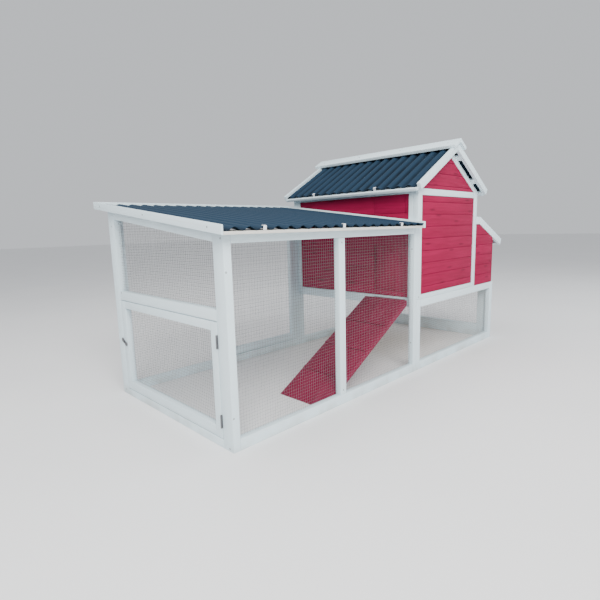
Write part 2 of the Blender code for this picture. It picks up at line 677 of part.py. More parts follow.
def ridge_cap():
    """Two boards that meet over the ridge, as one folded piece."""
    base_z = RAFTER_APEX + BARGE / math.cos(HOUSE_ANGLE) + GAP
    drop = RIDGE_BOARD * math.sin(HOUSE_ANGLE)
    reach = RIDGE_BOARD * math.cos(HOUSE_ANGLE)
    lift_x = RIDGE_THICK * math.sin(HOUSE_ANGLE)
    lift_z = RIDGE_THICK * math.cos(HOUSE_ANGLE)
    peak = base_z + RIDGE_THICK / math.cos(HOUSE_ANGLE)
    right = [(RIDGE_X + reach, base_z - drop), (RIDGE_X + reach + lift_x, base_z - drop + lift_z)]
    left = [(RIDGE_X - reach - lift_x, base_z - drop + lift_z), (RIDGE_X - reach, base_z - drop)]
    outline = [(RIDGE_X, base_z)] + right + [(RIDGE_X, peak)] + left
    panel_xz("ridge_cap", [outline], -RIDGE_OVERHANG_NEAR, WIDTH + RIDGE_OVERHANG_BACK, "white_timber",
             ease=0)


# ---- the nest box ----
def nest_box():
    near_side = BOARD_RECESS
    inner_front = NEST_END - BOARD
    side_top = [(HOUSE_END + GAP, LID_HINGE_Z - LID_BOARD / math.cos(LID_ANGLE) - GAP)]
    lid_under = LID_BOARD / math.cos(LID_ANGLE) + GAP
    outline = [(HOUSE_END + GAP, BASE_TOP + GAP), (NEST_END, BASE_TOP + GAP),
               (NEST_END, lid_top(NEST_END) - lid_under),
               (LID_HINGE_X, lid_top(LID_HINGE_X) - lid_under)] + side_top
    far_side = WIDTH - BOARD_RECESS
    sides = [panel_xz("side_%d" % i, [outline], near, near + BOARD, "red_planks", ease=0)
             for i, near in enumerate((near_side, far_side - BOARD))]
    wall_top = lid_top(NEST_END) - lid_under
    front = box("front", (inner_front, near_side, BASE_TOP + GAP / 2), (NEST_END, far_side, wall_top),
                "red_planks", ease=0)
    fuse("nest_walls", sides + [front], "red_planks")
    inside = (near_side + BOARD, far_side - BOARD)
    box("nest_floor", (HOUSE_END, inside[0], BASE_TOP), (inner_front, inside[1], BASE_TOP + BOARD),
        "raw_timber", ease=0)
    middle = WIDTH / 2
    floor_top = BASE_TOP + BOARD + GAP
    divider = [(HOUSE_END + GAP, floor_top), (inner_front - GAP, floor_top),
               (inner_front - GAP, wall_top - 0.010),
               (HOUSE_END + GAP, NEST_OPENING_TOP - 0.030)]
    panel_xz("nest_divider", [divider], middle - BOARD / 2, middle + BOARD / 2, "raw_timber", ease=0)
    box("nest_lid_ledge", (HOUSE_END, 0.0, LID_HINGE_Z - LID_BOARD / math.cos(LID_ANGLE)),
        (LID_HINGE_X - GAP, WIDTH, LID_HINGE_Z), "white_timber")


LID_SHEET_DROP = 0.002
LID_SHEET_START = 0.009    # hinge line to the sheet's upper end, along the slope
LID_BATTEN_START = 0.020
LID_BATTEN = 0.018


def nest_lid():
    pin = Vector((LID_HINGE_X, 0, LID_HINGE_Z))
    down = Vector((math.cos(LID_ANGLE), 0, -math.sin(LID_ANGLE)))
    up = Vector((math.sin(LID_ANGLE), 0, math.cos(LID_ANGLE)))

    def place(along, below):
        corner = pin + down * along - up * below
        return (corner.x, corner.z)

    side = [(LID_HINGE_X + GAP, LID_HINGE_Z),
            (LID_HINGE_X + GAP, LID_HINGE_Z - LID_BOARD / math.cos(LID_ANGLE)),
            place(LID_LENGTH, LID_BOARD), place(LID_LENGTH, 0)]
    edges = ((0.0, LID_THICK), (WIDTH - LID_THICK, WIDTH))
    pieces = [panel_xz("lid_side_%d" % i, [side], near, back, "white_timber", ease=0)
              for i, (near, back) in enumerate(edges)]
    sheet_under = LID_SHEET_DROP + WAVE_DEPTH + SHEET + GAP
    spans = ((LID_BATTEN_START, 0.050), (LID_LENGTH - LID_BATTEN, LID_LENGTH - GAP))
    for i, (start, end) in enumerate(spans):
        strip = [place(start, sheet_under), place(start, LID_BOARD - 0.002),
                 place(end, LID_BOARD - 0.002), place(end, sheet_under)]
        pieces.append(panel_xz("lid_batten_%d" % i, [strip], LID_THICK / 2, WIDTH - LID_THICK / 2,
                               "white_timber", ease=0))
    hinge = (LID_HINGE_X, 0.0, LID_HINGE_Z)
    move_origin(fuse("nest_lid_frame", pieces, "white_timber"), hinge)
    length = WIDTH - 2 * LID_THICK - 2 * GAP
    origin = pin + down * LID_SHEET_START - up * (sheet_under - GAP) + Vector((0, LID_THICK + GAP, 0))
    sheet = corrugated("nest_lid_sheet", length, LID_LENGTH - LID_SHEET_START, origin, (0, 1, 0), down)
    move_origin(sheet, hinge)


# ---- the ramp ----
def ramp():
    top = Vector((RAMP_TOP_X, 0, RAMP_TOP_Z))
    foot = Vector((RAMP_FOOT_X, 0, 0))
    down = (foot - top).normalized()
    up = Vector((down.z, 0, -down.x))
    length = (foot - top).length
    near, back = RAMP_NEAR, RAMP_NEAR + RAMP_WIDTH
    side_width, side_depth = RAMP_SIDE

    side = [(RAMP_TOP_X, RAMP_TOP_Z), (RAMP_FOOT_X, 0.0),
            (RAMP_FOOT_X - side_depth / down.z, 0.0), (RAMP_TOP_X, RAMP_TOP_Z + side_depth / down.x)]
    pieces = [panel_xz("board", [side], near, back, "red_planks", ease=0)]
    corners = [top - down * 0.1 - up * RAMP_BOARD, foot + down * 0.1 - up * RAMP_BOARD,
               foot + down * 0.1 - up * 0.1, top - down * 0.1 - up * 0.1]
    under = panel_xz("under", [[(corner.x, corner.z) for corner in corners]],
                     near + side_width, back - side_width, "red_planks", ease=0)
    wide, tall = CLEAT_SIZE
    for step, place in enumerate(CLEAT_PLACES):
        centre = top + down * length * place
        corners = [centre + down * a + up * h for a, h in
                   ((-wide / 2, -0.002), (wide / 2, -0.002), (wide / 2, tall), (-wide / 2, tall))]
        strip = [(corner.x, corner.z) for corner in corners]
        pieces.append(panel_xz("cleat_%d" % step, [strip], near + CLEAT_INSET, back - CLEAT_INSET,
                               "red_planks", ease=0))
    move_origin(fuse("ramp", pieces, "red_planks", under), (RAMP_TOP_X, 0.0, RAMP_TOP_Z))
    width, thick = HANGER
    start = near + (RAMP_WIDTH - width) / 2
    box("ramp_hanger", (RAMP_TOP_X + 0.0015, start, RAMP_TOP_Z - 0.004 - thick),
        (HOUSE_X, start + width, RAMP_TOP_Z - 0.004), "hardware", ease=0)


run_end_panel()
run_door()
run_front()
run_back()
run_roof()
base()
house_gables()
house_side_walls()
house_inside()
roof_slope(-1, "run_side")
roof_slope(1, "nest_side")
ridge_cap()
nest_box()
nest_lid()
ramp()
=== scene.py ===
"""Visual model of a wooden chicken coop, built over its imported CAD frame.

Every CAD node is replaced by one visual piece made in the row's frame: metres, +X from the run
to the nest box, +Y to the back, +Z up. Pieces take their place from the node they replace, and
ride on that node's body. Timber, planks and hardware are solids with eased edges; wire mesh,
corrugated sheets and screws are grown by Geometry Nodes and then kept as plain meshes.
"""
import json
import math
import random

import bmesh
import bpy
from mathutils import Matrix, Vector


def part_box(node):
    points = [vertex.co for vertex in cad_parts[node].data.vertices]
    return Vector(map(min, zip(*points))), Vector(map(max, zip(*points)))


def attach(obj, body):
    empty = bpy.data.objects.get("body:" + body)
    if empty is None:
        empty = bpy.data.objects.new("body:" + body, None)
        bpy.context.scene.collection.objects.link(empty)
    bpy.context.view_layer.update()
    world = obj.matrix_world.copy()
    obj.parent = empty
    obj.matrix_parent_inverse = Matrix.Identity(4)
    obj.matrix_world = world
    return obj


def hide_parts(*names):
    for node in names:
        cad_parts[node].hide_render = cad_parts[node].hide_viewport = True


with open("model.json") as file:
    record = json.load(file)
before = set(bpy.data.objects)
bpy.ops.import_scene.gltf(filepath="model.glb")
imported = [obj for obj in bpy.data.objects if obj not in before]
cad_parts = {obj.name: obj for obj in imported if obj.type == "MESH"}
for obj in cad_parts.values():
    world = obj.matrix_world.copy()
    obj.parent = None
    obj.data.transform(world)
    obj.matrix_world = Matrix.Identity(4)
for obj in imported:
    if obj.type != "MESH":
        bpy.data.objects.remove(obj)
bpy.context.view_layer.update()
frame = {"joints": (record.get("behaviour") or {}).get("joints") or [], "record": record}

X, Y, Z = Vector((1, 0, 0)), Vector((0, 1, 0)), Vector((0, 0, 1))
BODY_OF = {node: body for body, nodes in frame["record"]["behaviour"]["bodies"].items() for node in nodes}
JOINTS = {joint["name"]: joint for joint in frame["joints"]}
chance = random.Random(11)

# ---- sizes, metres ----
EASE = 0.0013              # eased edge of a sawn timber
SEAM = 0.00025             # half the open joint between two timbers
PLANK_SEAM = 0.0004        # half the open joint between two planks
END_JOINT = 0.0005         # open joint at the end of a rail
PLANK = 0.0643             # height of a siding plank
SIDE_PLANK = 0.097         # height of a plank in the house's run wall
PLANK_EASE = 0.0030
PLANK_STRAY = 0.0004       # most that a plank sits back from its neighbours
TONGUE = 0.004             # reach of the tongue behind a seam, each way
MESH_CLEAR = 0.0005        # mesh sheet to the frame round it
DOOR_CLEAR = 0.003         # door to the frame round it
RUN_PITCH = 0.1262         # rise for each metre of each roof
HOUSE_PITCH = 0.589
LID_PITCH = 0.4245
WIRE_PITCH = 0.0127
WIRE_RADIUS = 0.00036
WIRE_SWAY = 0.003
WAVE_PITCH = 0.0625
RUN_WAVE_START = -0.013    # where the run sheet's first wave begins, from its edge
SHEET = 0.0016             # thickness of a corrugated sheet
SCREW_RADIUS = 0.0034
PIN_RADIUS = 0.0033        # hinge barrel of a back door
PIN_LENGTH = 0.055
PROUD = 0.0001             # screw head over the surface


# ---- node trees ----
class Value:
    """A socket of a node tree that Python's operators work on."""

    def __init__(self, graph, socket):
        self.graph = graph
        self.socket = socket


for operator, operation in (("add", "ADD"), ("sub", "SUBTRACT"), ("mul", "MULTIPLY"), ("truediv", "DIVIDE")):
    setattr(Value, "__%s__" % operator, lambda a, b, way=operation: a.graph.math(way, a, b))
    setattr(Value, "__r%s__" % operator, lambda a, b, way=operation: a.graph.math(way, b, a))


class Graph:
    """Makes nodes of one tree and links them."""

    def __init__(self, tree):
        self.tree = tree

    def node(self, kind, inputs=(), **settings):
        made = self.tree.nodes.new(kind)
        for name, setting in settings.items():
            setattr(made, name, setting)
        pairs = inputs.items() if isinstance(inputs, dict) else enumerate(inputs)
        for key, value in pairs:
            if isinstance(value, Value):
                self.tree.links.new(value.socket, made.inputs[key])
            elif value is not None:
                made.inputs[key].default_value = value
        return made

    def value(self, kind, inputs=(), output=0, **settings):
        return Value(self, self.node(kind, inputs, **settings).outputs[output])

    def math(self, operation, *terms):
        return self.value("ShaderNodeMath", terms, operation=operation)

    def xyz(self, x=0.0, y=0.0, z=0.0):
        return self.value("ShaderNodeCombineXYZ", (x, y, z))

    def split(self, vector):
        made = self.node("ShaderNodeSeparateXYZ", (vector,))
        return [Value(self, socket) for socket in made.outputs]

    def noise(self, vector, scale=1.0, detail=2.0, roughness=0.5, output=0):
        inputs = {"Vector": vector, "Scale": scale, "Detail": detail, "Roughness": roughness}
        return self.value("ShaderNodeTexNoise", inputs, output)

    def step(self, value, low, high):
        """0 below low, 1 above high and a smooth rise between."""
        return self.value("ShaderNodeMapRange", {"Value": value, "From Min": low, "From Max": high},
                          interpolation_type="SMOOTHSTEP")

    def mix(self, factor, first, second):
        made = self.node("ShaderNodeMix", data_type="RGBA")
        for index, value in ((0, factor), (6, first), (7, second)):
            if isinstance(value, Value):
                self.tree.links.new(value.socket, made.inputs[index])
            elif index:
                made.inputs[index].default_value = (*value, 1.0)
            else:
                made.inputs[index].default_value = value
        return Value(self, made.outputs[2])


# ---- materials ----
class Finish(Graph):
    """A material with one Principled shader, whose texture follows each board's grain."""

    def __init__(self, name):
        self.material = bpy.data.materials.new(name)
        self.material.use_nodes = True
        super().__init__(self.material.node_tree)
        self.shader = self.tree.nodes["Principled BSDF"]
        along, across, _ = self.split(self.value("ShaderNodeUVMap", uv_map="grain"))
        self.along = along
        self.across = across
        board = self.math("FLOOR", across)
        self.tone = self.value("ShaderNodeTexWhiteNoise", {"W": board}, noise_dimensions="1D")
        self.place = self.value("ShaderNodeTexCoord", output=3)
        self.height = self.split(self.place)[2]

    def grain(self, along, across, detail=3.0):
        """Noise drawn out along the grain; the two numbers are waves to the metre."""
        return self.noise(self.xyz(self.along * along, self.across * across, self.tone * 7.0), detail=detail)

    def done(self, colour, roughness, height, depth, strength=1.0, **constant):
        self.tree.links.new(colour.socket, self.shader.inputs["Base Color"])
        self.tree.links.new(roughness.socket, self.shader.inputs["Roughness"])
        bump = self.value("ShaderNodeBump", {"Strength": strength, "Distance": depth, "Height": height})
        self.tree.links.new(bump.socket, self.shader.inputs["Normal"])
        for name, value in constant.items():
            self.shader.inputs[name.replace("_", " ")].default_value = value
        return self.material


def white_paint(name, clean, dull, stain):
    """Thin white paint over sawn softwood, with faint grain, and soil near the ground."""
    paint = Finish(name)
    streak = paint.grain(4.0, 240.0)
    cloud = paint.noise(paint.place, 9.0, 4.0)
    thin = paint.step(paint.grain(2.5, 55.0, 5.0), 0.55, 0.80)
    colour = paint.mix(streak * 0.35 + paint.tone * 0.35, clean, dull)
    colour = paint.mix(thin * 0.30, colour, stain)
    soil = paint.step(0.060 - paint.height, 0.0, 0.055) * paint.step(cloud, 0.35, 0.70)
    colour = paint.mix(soil * 0.35, colour, (0.30, 0.26, 0.21))
    relief = streak * 0.6 + thin * 0.4 + paint.grain(30.0, 500.0) * 0.25
    return paint.done(colour, 0.44 + streak * 0.16 + thin * 0.1, relief, 0.00045, 0.55)


def stained_wood(name, bright, deep, dark, knots=0.8):
    """Coloured stain that lets the grain, the rings and a few knots show."""
    stain = Finish(name)
    figure = stain.grain(1.6, 26.0, 4.0)
    rings = stain.math("SINE", (figure * 26.0) + stain.across * 60.0) * 0.5 + 0.5
    fibre = stain.grain(9.0, 520.0, 4.0)
    cell = stain.xyz(stain.along * 3.2, stain.across * 15.0 + stain.tone * 5.0)
    knot_way = stain.value("ShaderNodeTexVoronoi", {"Vector": cell, "Scale": 1.0}, voronoi_dimensions="2D")
    knot = 1.0 - stain.step(knot_way, 0.035, 0.14)
    wear = stain.noise(stain.place, 6.0, 5.0)
    colour = stain.mix(rings * 0.32 + fibre * 0.50, bright, deep)
    colour = stain.mix(stain.tone * 0.30 + stain.step(wear, 0.45, 0.75) * 0.22, colour, deep)
    colour = stain.mix(knot * knots, colour, dark)
    relief = fibre * 0.6 + rings * 0.35 + knot * 0.3
    return stain.done(colour, 0.62 + fibre * 0.22, relief, 0.0005, 0.6, Specular_IOR_Level=0.18)


def sheet_finish(name, base, trough_shade, sheen):
    """Dark roofing sheet with a fine grit, run-off streaks that also lay on a painted sheen of sky
    reflection, and painted shade in its troughs.
    """
    sheet = Finish(name)
    grit = sheet.noise(sheet.place, 900.0, 2.0)
    streak = sheet.noise(sheet.xyz(sheet.along * 45.0, sheet.across * 2.0), detail=4.0)
    cloud = sheet.noise(sheet.place, 5.0, 4.0)
    trough = sheet.math("COSINE", sheet.along * (2 * math.pi / WAVE_PITCH)) * 0.5 + 0.5
    # painted shade: the troughs of the waves are darkened in patches towards a near-black colour
    trough_shade_mask = sheet.step(trough, 0.25, 0.95) * (sheet.step(cloud, 0.25, 0.75) * 0.5 + 0.5)
    # the streaks lighten the sheet towards a bluer colour: partly run-off streaks, partly a painted sheen of
    # sky reflection
    colour = sheet.mix(streak * 0.45 + grit * 0.25, base, sheen)
    colour = sheet.mix(trough_shade_mask * 0.80, colour, trough_shade)
    relief = grit * 0.4 + streak * 0.2
    roughness = 0.46 + streak * 0.16 + trough_shade_mask * 0.18
    return sheet.done(colour, roughness, relief, 0.0003, 0.35, Specular_IOR_Level=0.08)


def metal_finish(name, bright, dull, rust, metallic, roughness):
    """Worn steel: mottled zinc with a little rust where it starts."""
    steel = Finish(name)
    mottle = steel.noise(steel.place, 60.0, 4.0)
    fine = steel.noise(steel.place, 700.0, 2.0)
    bloom = steel.step(steel.noise(steel.place, 22.0, 5.0), 0.60, 0.80)
    colour = steel.mix(mottle, bright, dull)
    colour = steel.mix(bloom * 0.35, colour, rust)
    return steel.done(colour, roughness + fine * 0.15 + bloom * 0.2, fine, 0.0001, 0.3, Metallic=metallic)


def plastic_finish(name, light, shade):
    plastic = Finish(name)
    cloud = plastic.noise(plastic.place, 80.0, 3.0)
    fine = plastic.noise(plastic.place, 1500.0)
    return plastic.done(plastic.mix(cloud, light, shade), 0.40 + fine * 0.12, fine, 0.0001, 0.3)


WHITE = white_paint("white_paint", (0.71, 0.84, 0.89), (0.58, 0.70, 0.76), (0.58, 0.61, 0.60))
WHITE_STAINED = white_paint("white_paint_stained", (0.68, 0.68, 0.64), (0.50, 0.46, 0.40), (0.30, 0.21, 0.13))
RED = stained_wood("red_stain", (0.35, 0.004, 0.060), (0.20, 0.002, 0.030), (0.07, 0.002, 0.012), 0.45)
RAMP_RED = stained_wood("ramp_stain", (0.26, 0.005, 0.050), (0.15, 0.003, 0.027), (0.06, 0.003, 0.011), 0.2)
RAW = stained_wood("raw_softwood", (0.62, 0.46, 0.29), (0.46, 0.31, 0.17), (0.20, 0.11, 0.055))
# roofing colours: base, near-black painted shade for the troughs, lighter blue painted sheen
ROOFING = sheet_finish("roofing", (0.011, 0.027, 0.050), (0.0016, 0.0034, 0.0062), (0.019, 0.045, 0.078))
WIRE = metal_finish("galvanised_wire", (0.30, 0.31, 0.32), (0.19, 0.20, 0.21), (0.12, 0.09, 0.06), 0.55, 0.45)
STEEL = metal_finish("hinge_steel", (0.22, 0.22, 0.23), (0.11, 0.11, 0.12), (0.12, 0.06, 0.03), 0.85, 0.38)
SCREW = metal_finish("dark_screw", (0.12, 0.12, 0.13), (0.05, 0.05, 0.055), (0.10, 0.05, 0.025), 0.8, 0.40)
PLASTIC = plastic_finish("white_plastic", (0.86, 0.87, 0.88), (0.76, 0.78, 0.80))


# ---- things grown by Geometry Nodes ----
def in_scene(name, data):
    """A new object of the scene."""
    item = bpy.data.objects.new(name, data)
    bpy.context.scene.collection.objects.link(item)
    return item


SOCKETS = {float: "NodeSocketFloat", int: "NodeSocketInt", "material": "NodeSocketMaterial",
           "object": "NodeSocketObject", "geometry": "NodeSocketGeometry"}


class Growth(Graph):
    """A Geometry Nodes group with named inputs, used for one kind of repeated thing."""

    def __init__(self, name, inputs):
        super().__init__(bpy.data.node_groups.new(name, "GeometryNodeTree"))
        face = self.tree.interface
        face.new_socket("Geometry", in_out="INPUT", socket_type=SOCKETS["geometry"])
        face.new_socket("Geometry", in_out="OUTPUT", socket_type=SOCKETS["geometry"])
        for label, kind in inputs.items():
            face.new_socket(label, in_out="INPUT", socket_type=SOCKETS[kind])
        self.given = self.node("NodeGroupInput")

    def input(self, label):
        return Value(self, self.given.outputs[label])

    def geo(self, kind, inputs=(), output=0, **settings):
        return self.value("GeometryNode" + kind, inputs, output, **settings)

    def join(self, *parts):
        """All parts as one geometry, the last first."""
        joined = self.node("GeometryNodeJoinGeometry")
        for part in parts:
            self.tree.links.new(part.socket, joined.inputs[0])
        return Value(self, joined.outputs[0])

    def finish(self, geometry):
        """Real, smooth faces in the group's own material."""
        real = self.geo("RealizeInstances", (geometry,))
        smooth = self.geo("SetShadeSmooth", (real,))
        shown = self.geo("SetMaterial", {0: smooth, "Material": self.input("Material")})
        self.node("NodeGroupOutput", (shown,))

    def mesh(self, values, points=()):
        """The group's result as a plain mesh."""
        source = bpy.data.meshes.new("points")
        source.from_pydata([place for place, _ in points], [], [])
        facing = source.attributes.new("facing", "FLOAT_VECTOR", "POINT")
        for item, (_, normal) in zip(facing.data, points):
            item.vector = normal
        item = in_scene("grown", source)
        modifier = item.modifiers.new("grow", "NODES")
        modifier.node_group = self.tree
        for socket in self.tree.interface.items_tree:
            if socket.in_out == "INPUT" and socket.name in values:
                modifier[socket.identifier] = values[socket.name]
        bpy.context.view_layer.update()
        shown = item.evaluated_get(bpy.context.evaluated_depsgraph_get())
        result = bpy.data.meshes.new_from_object(shown)
        bpy.data.objects.remove(item, do_unlink=True)
        return result


def wire_growth():
    """A welded wire panel: upright wires in front of level ones, under a top that may slope."""
    grow = Growth("wire_panel", {"Width": float, "Height": float, "Slope": float, "Pitch": float,
                                 "Radius": float, "Seed": float, "Material": "material"})
    width, height, slope = (grow.input(name) for name in ("Width", "Height", "Slope"))
    pitch, radius = grow.input("Pitch"), grow.input("Radius")
    rod = grow.geo("MeshCylinder", {"Vertices": 6, "Side Segments": 14, "Radius": radius,
                                    "Depth": 1.0})
    upright = grow.geo("Transform", {0: rod, "Translation": (0.0, 0.0, 0.5)})
    level = grow.geo("Transform", {0: rod, "Translation": (0.5, 0.0, 0.0),
                                   "Rotation": (0.0, math.pi / 2, 0.0)})
    start = pitch * 0.5
    columns = grow.geo("MeshLine", {"Count": grow.math("FLOOR", width / pitch),
                                    "Start Location": grow.xyz(start, radius * -1.0, 0.0),
                                    "Offset": grow.xyz(pitch, 0.0, 0.0)})
    x, _, z = grow.split(grow.geo("InputPosition"))
    tall = grow.geo("InstanceOnPoints",
                    {"Points": columns, "Instance": upright,
                     "Scale": grow.xyz(1.0, 1.0, height + slope * x)})
    top = height + slope * width
    rows = grow.geo("MeshLine", {"Count": grow.math("FLOOR", top / pitch),
                                 "Start Location": grow.xyz(0.0, radius, start),
                                 "Offset": grow.xyz(0.0, 0.0, pitch)})
    cut = grow.math("MAXIMUM", 0.0, (z - height) / grow.math("MAXIMUM", slope, 0.00001))
    wide = grow.geo("InstanceOnPoints",
                    {"Points": rows, "Instance": level, "Scale": grow.xyz(width - cut, 1.0, 1.0)})
    moved = grow.geo("TranslateInstances", {0: wide, "Translation": grow.xyz(cut, 0.0, 0.0),
                                            "Local Space": False})
    real = grow.geo("RealizeInstances", (grow.join(tall, moved),))
    place = grow.geo("InputPosition")
    seeded = grow.value("ShaderNodeVectorMath", (place, grow.xyz(grow.input("Seed"))), operation="ADD")
    sway = grow.noise(seeded, 5.0, 1.0, output=1)
    centred = grow.value("ShaderNodeVectorMath", (sway, (0.5, 0.5, 0.5)), operation="SUBTRACT")
    sway = grow.value("ShaderNodeVectorMath", {0: centred, "Scale": WIRE_SWAY}, operation="SCALE")
    sx, sy, sz = grow.split(sway)
    inside = grow.math("MINIMUM", 1.0, x * (width - x) * 60.0) * grow.math("MINIMUM", 1.0, z * 12.0)
    offset = grow.xyz(sx * inside * 0.4, sy * inside * 0.5, sz * inside * 0.3)
    grow.finish(grow.geo("SetPosition", {0: real, "Offset": offset}))
    return grow


def sheet_growth():
    """A corrugated sheet round its own centre: waves along X, underside of the troughs at 0."""
    grow = Growth("corrugated_sheet", {"Length": float, "Run": float, "Depth": float, "Pitch": float,
                                       "Thickness": float, "Seed": float, "Start": float,
                                       "Material": "material"})
    length, run, pitch = grow.input("Length"), grow.input("Run"), grow.input("Pitch")
    columns = grow.math("FLOOR", length / pitch * 14.0) + 1.0
    grid = grow.geo("MeshGrid", {"Size X": length, "Size Y": run, "Vertices X": columns,
                                 "Vertices Y": 13})
    place = grow.geo("InputPosition")
    x, y, _ = grow.split(place)
    travelled = x + length * 0.5 + grow.input("Start")
    turn = travelled / pitch * (2 * math.pi)
    wave = (1.0 - grow.math("COSINE", turn)) * 0.5 * grow.input("Depth")
    grain = grow.xyz(travelled, y + 4.5 + grow.input("Seed"))
    mapped = grow.geo("StoreNamedAttribute", {0: grid, "Name": "grain", "Value": grain},
                                              data_type="FLOAT2", domain="CORNER")
    shaped = grow.geo("SetPosition", {0: mapped, "Offset": grow.xyz(0.0, 0.0, wave)})
    thick = grow.geo("ExtrudeMesh",
                     {"Mesh": shaped, "Offset": (0.0, 0.0, 1.0), "Offset Scale": grow.input("Thickness"),
                      "Individual": False})
    under = grow.geo("FlipFaces", (shaped,))
    grow.finish(grow.geo("MergeByDistance", {0: grow.join(thick, under), "Distance": 0.00002}))
    return grow


def screw_growth():
    """Screw heads on points, each turned its own way about the direction it faces."""
    grow = Growth("screw_heads", {"Head": "object", "Seed": int, "Material": "material"})
    facing = grow.geo("InputNamedAttribute", {"Name": "facing"}, data_type="FLOAT_VECTOR")
    aimed = grow.value("FunctionNodeAlignRotationToVector", {"Vector": facing}, axis="Z")
    spin = grow.node("FunctionNodeRandomValue", data_type="FLOAT")
    spin.inputs[3].default_value = math.pi
    grow.tree.links.new(grow.input("Seed").socket, spin.inputs["Seed"])
    twist = grow.xyz(0.0, 0.0, Value(grow, spin.outputs[1]))
    turned = grow.value("FunctionNodeRotateRotation", (aimed, twist), rotation_space="LOCAL")
    head = grow.geo("ObjectInfo", (grow.input("Head"),), output="Geometry")
    grow.finish(grow.geo("InstanceOnPoints",
                         {"Points": grow.input("Geometry"), "Instance": head, "Rotation": turned}))
    return grow


def new_verts(extruded):
    return [item for item in extruded["geom"] if isinstance(item, bmesh.types.BMVert)]


SLOT_DEPTH = 0.0012
RIM_DEPTH = 0.001


def screw_head():
    """A flush cross-head screw, facing +Z."""
    shape = bmesh.new()
    rim = bmesh.ops.create_circle(shape, segments=16, radius=SCREW_RADIUS)["verts"]
    arm, half = SCREW_RADIUS * 0.55, SCREW_RADIUS * 0.13
    corners = [(half, half), (half, arm), (-half, arm), (-half, half)]
    cross = []
    for quarter in range(4):
        turn = Matrix.Rotation(quarter * math.pi / 2, 2)
        cross += [turn @ Vector(corner) for corner in corners[:3]]
    slot = [shape.verts.new((x, y, 0.0)) for x, y in cross]
    ring = [shape.edges.new((slot[i], slot[i - 1])) for i in range(len(slot))]
    edges = list({edge for vert in rim for edge in vert.link_edges}) + ring
    bmesh.ops.triangle_fill(shape, use_beauty=True, use_dissolve=False, edges=edges, normal=Z)
    inside = [face for face in shape.faces if all(vert in slot for vert in face.verts)]
    bmesh.ops.delete(shape, geom=inside, context="FACES_ONLY")
    floor = shape.faces.new(slot)
    deep = new_verts(bmesh.ops.extrude_face_region(shape, geom=[floor]))
    bmesh.ops.translate(shape, vec=(0, 0, -SLOT_DEPTH), verts=deep)
    if floor.is_valid:
        bmesh.ops.delete(shape, geom=[floor], context="FACES_ONLY")
    skirt = [edge for edge in shape.edges if edge.is_boundary and all(v in rim for v in edge.verts)]
    lower = new_verts(bmesh.ops.extrude_edge_only(shape, edges=skirt))
    bmesh.ops.translate(shape, vec=(0, 0, -RIM_DEPTH), verts=lower)
    bmesh.ops.recalc_face_normals(shape, faces=shape.faces)
    mesh = bpy.data.meshes.new("screw_head")
    shape.to_mesh(mesh)
    shape.free()
    return bpy.data.objects.new("screw_head", mesh)


WIRES = wire_growth()
SHEETS = sheet_growth()
SCREWS = screw_growth()
SCREW_HEAD = screw_head()


# ---- solids ----
class Box:
    """A CAD node's extent at rest."""

    def __init__(self, node):
        low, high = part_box(node)
        self.x0, self.y0, self.z0 = low
        self.x1, self.y1, self.z1 = high
        self.low, self.high = low, high
        self.middle = (low + high) / 2


def rectangle(a0, a1, b0, b1):
    return [Vector((a0, b0)), Vector((a1, b0)), Vector((a1, b1)), Vector((a0, b1))]


def clipped(outline, point, away):
    """The part of a convex outline that isn't on the 'away' side of a line through a point."""
    point, away = Vector(point), Vector(away)
    kept = []
    for first, second in zip(outline, outline[1:] + outline[:1]):
        before, after = (first - point).dot(away), (second - point).dot(away)
        if before <= 0:
            kept.append(first)
        if before * after < 0:
            kept.append(first.lerp(second, before / (before - after)))
    return kept


def between(outline, bottom, top):
    """The part of a convex outline between two levels."""
    return clipped(clipped(outline, (0, bottom), (0, -1)), (0, top), (0, 1))


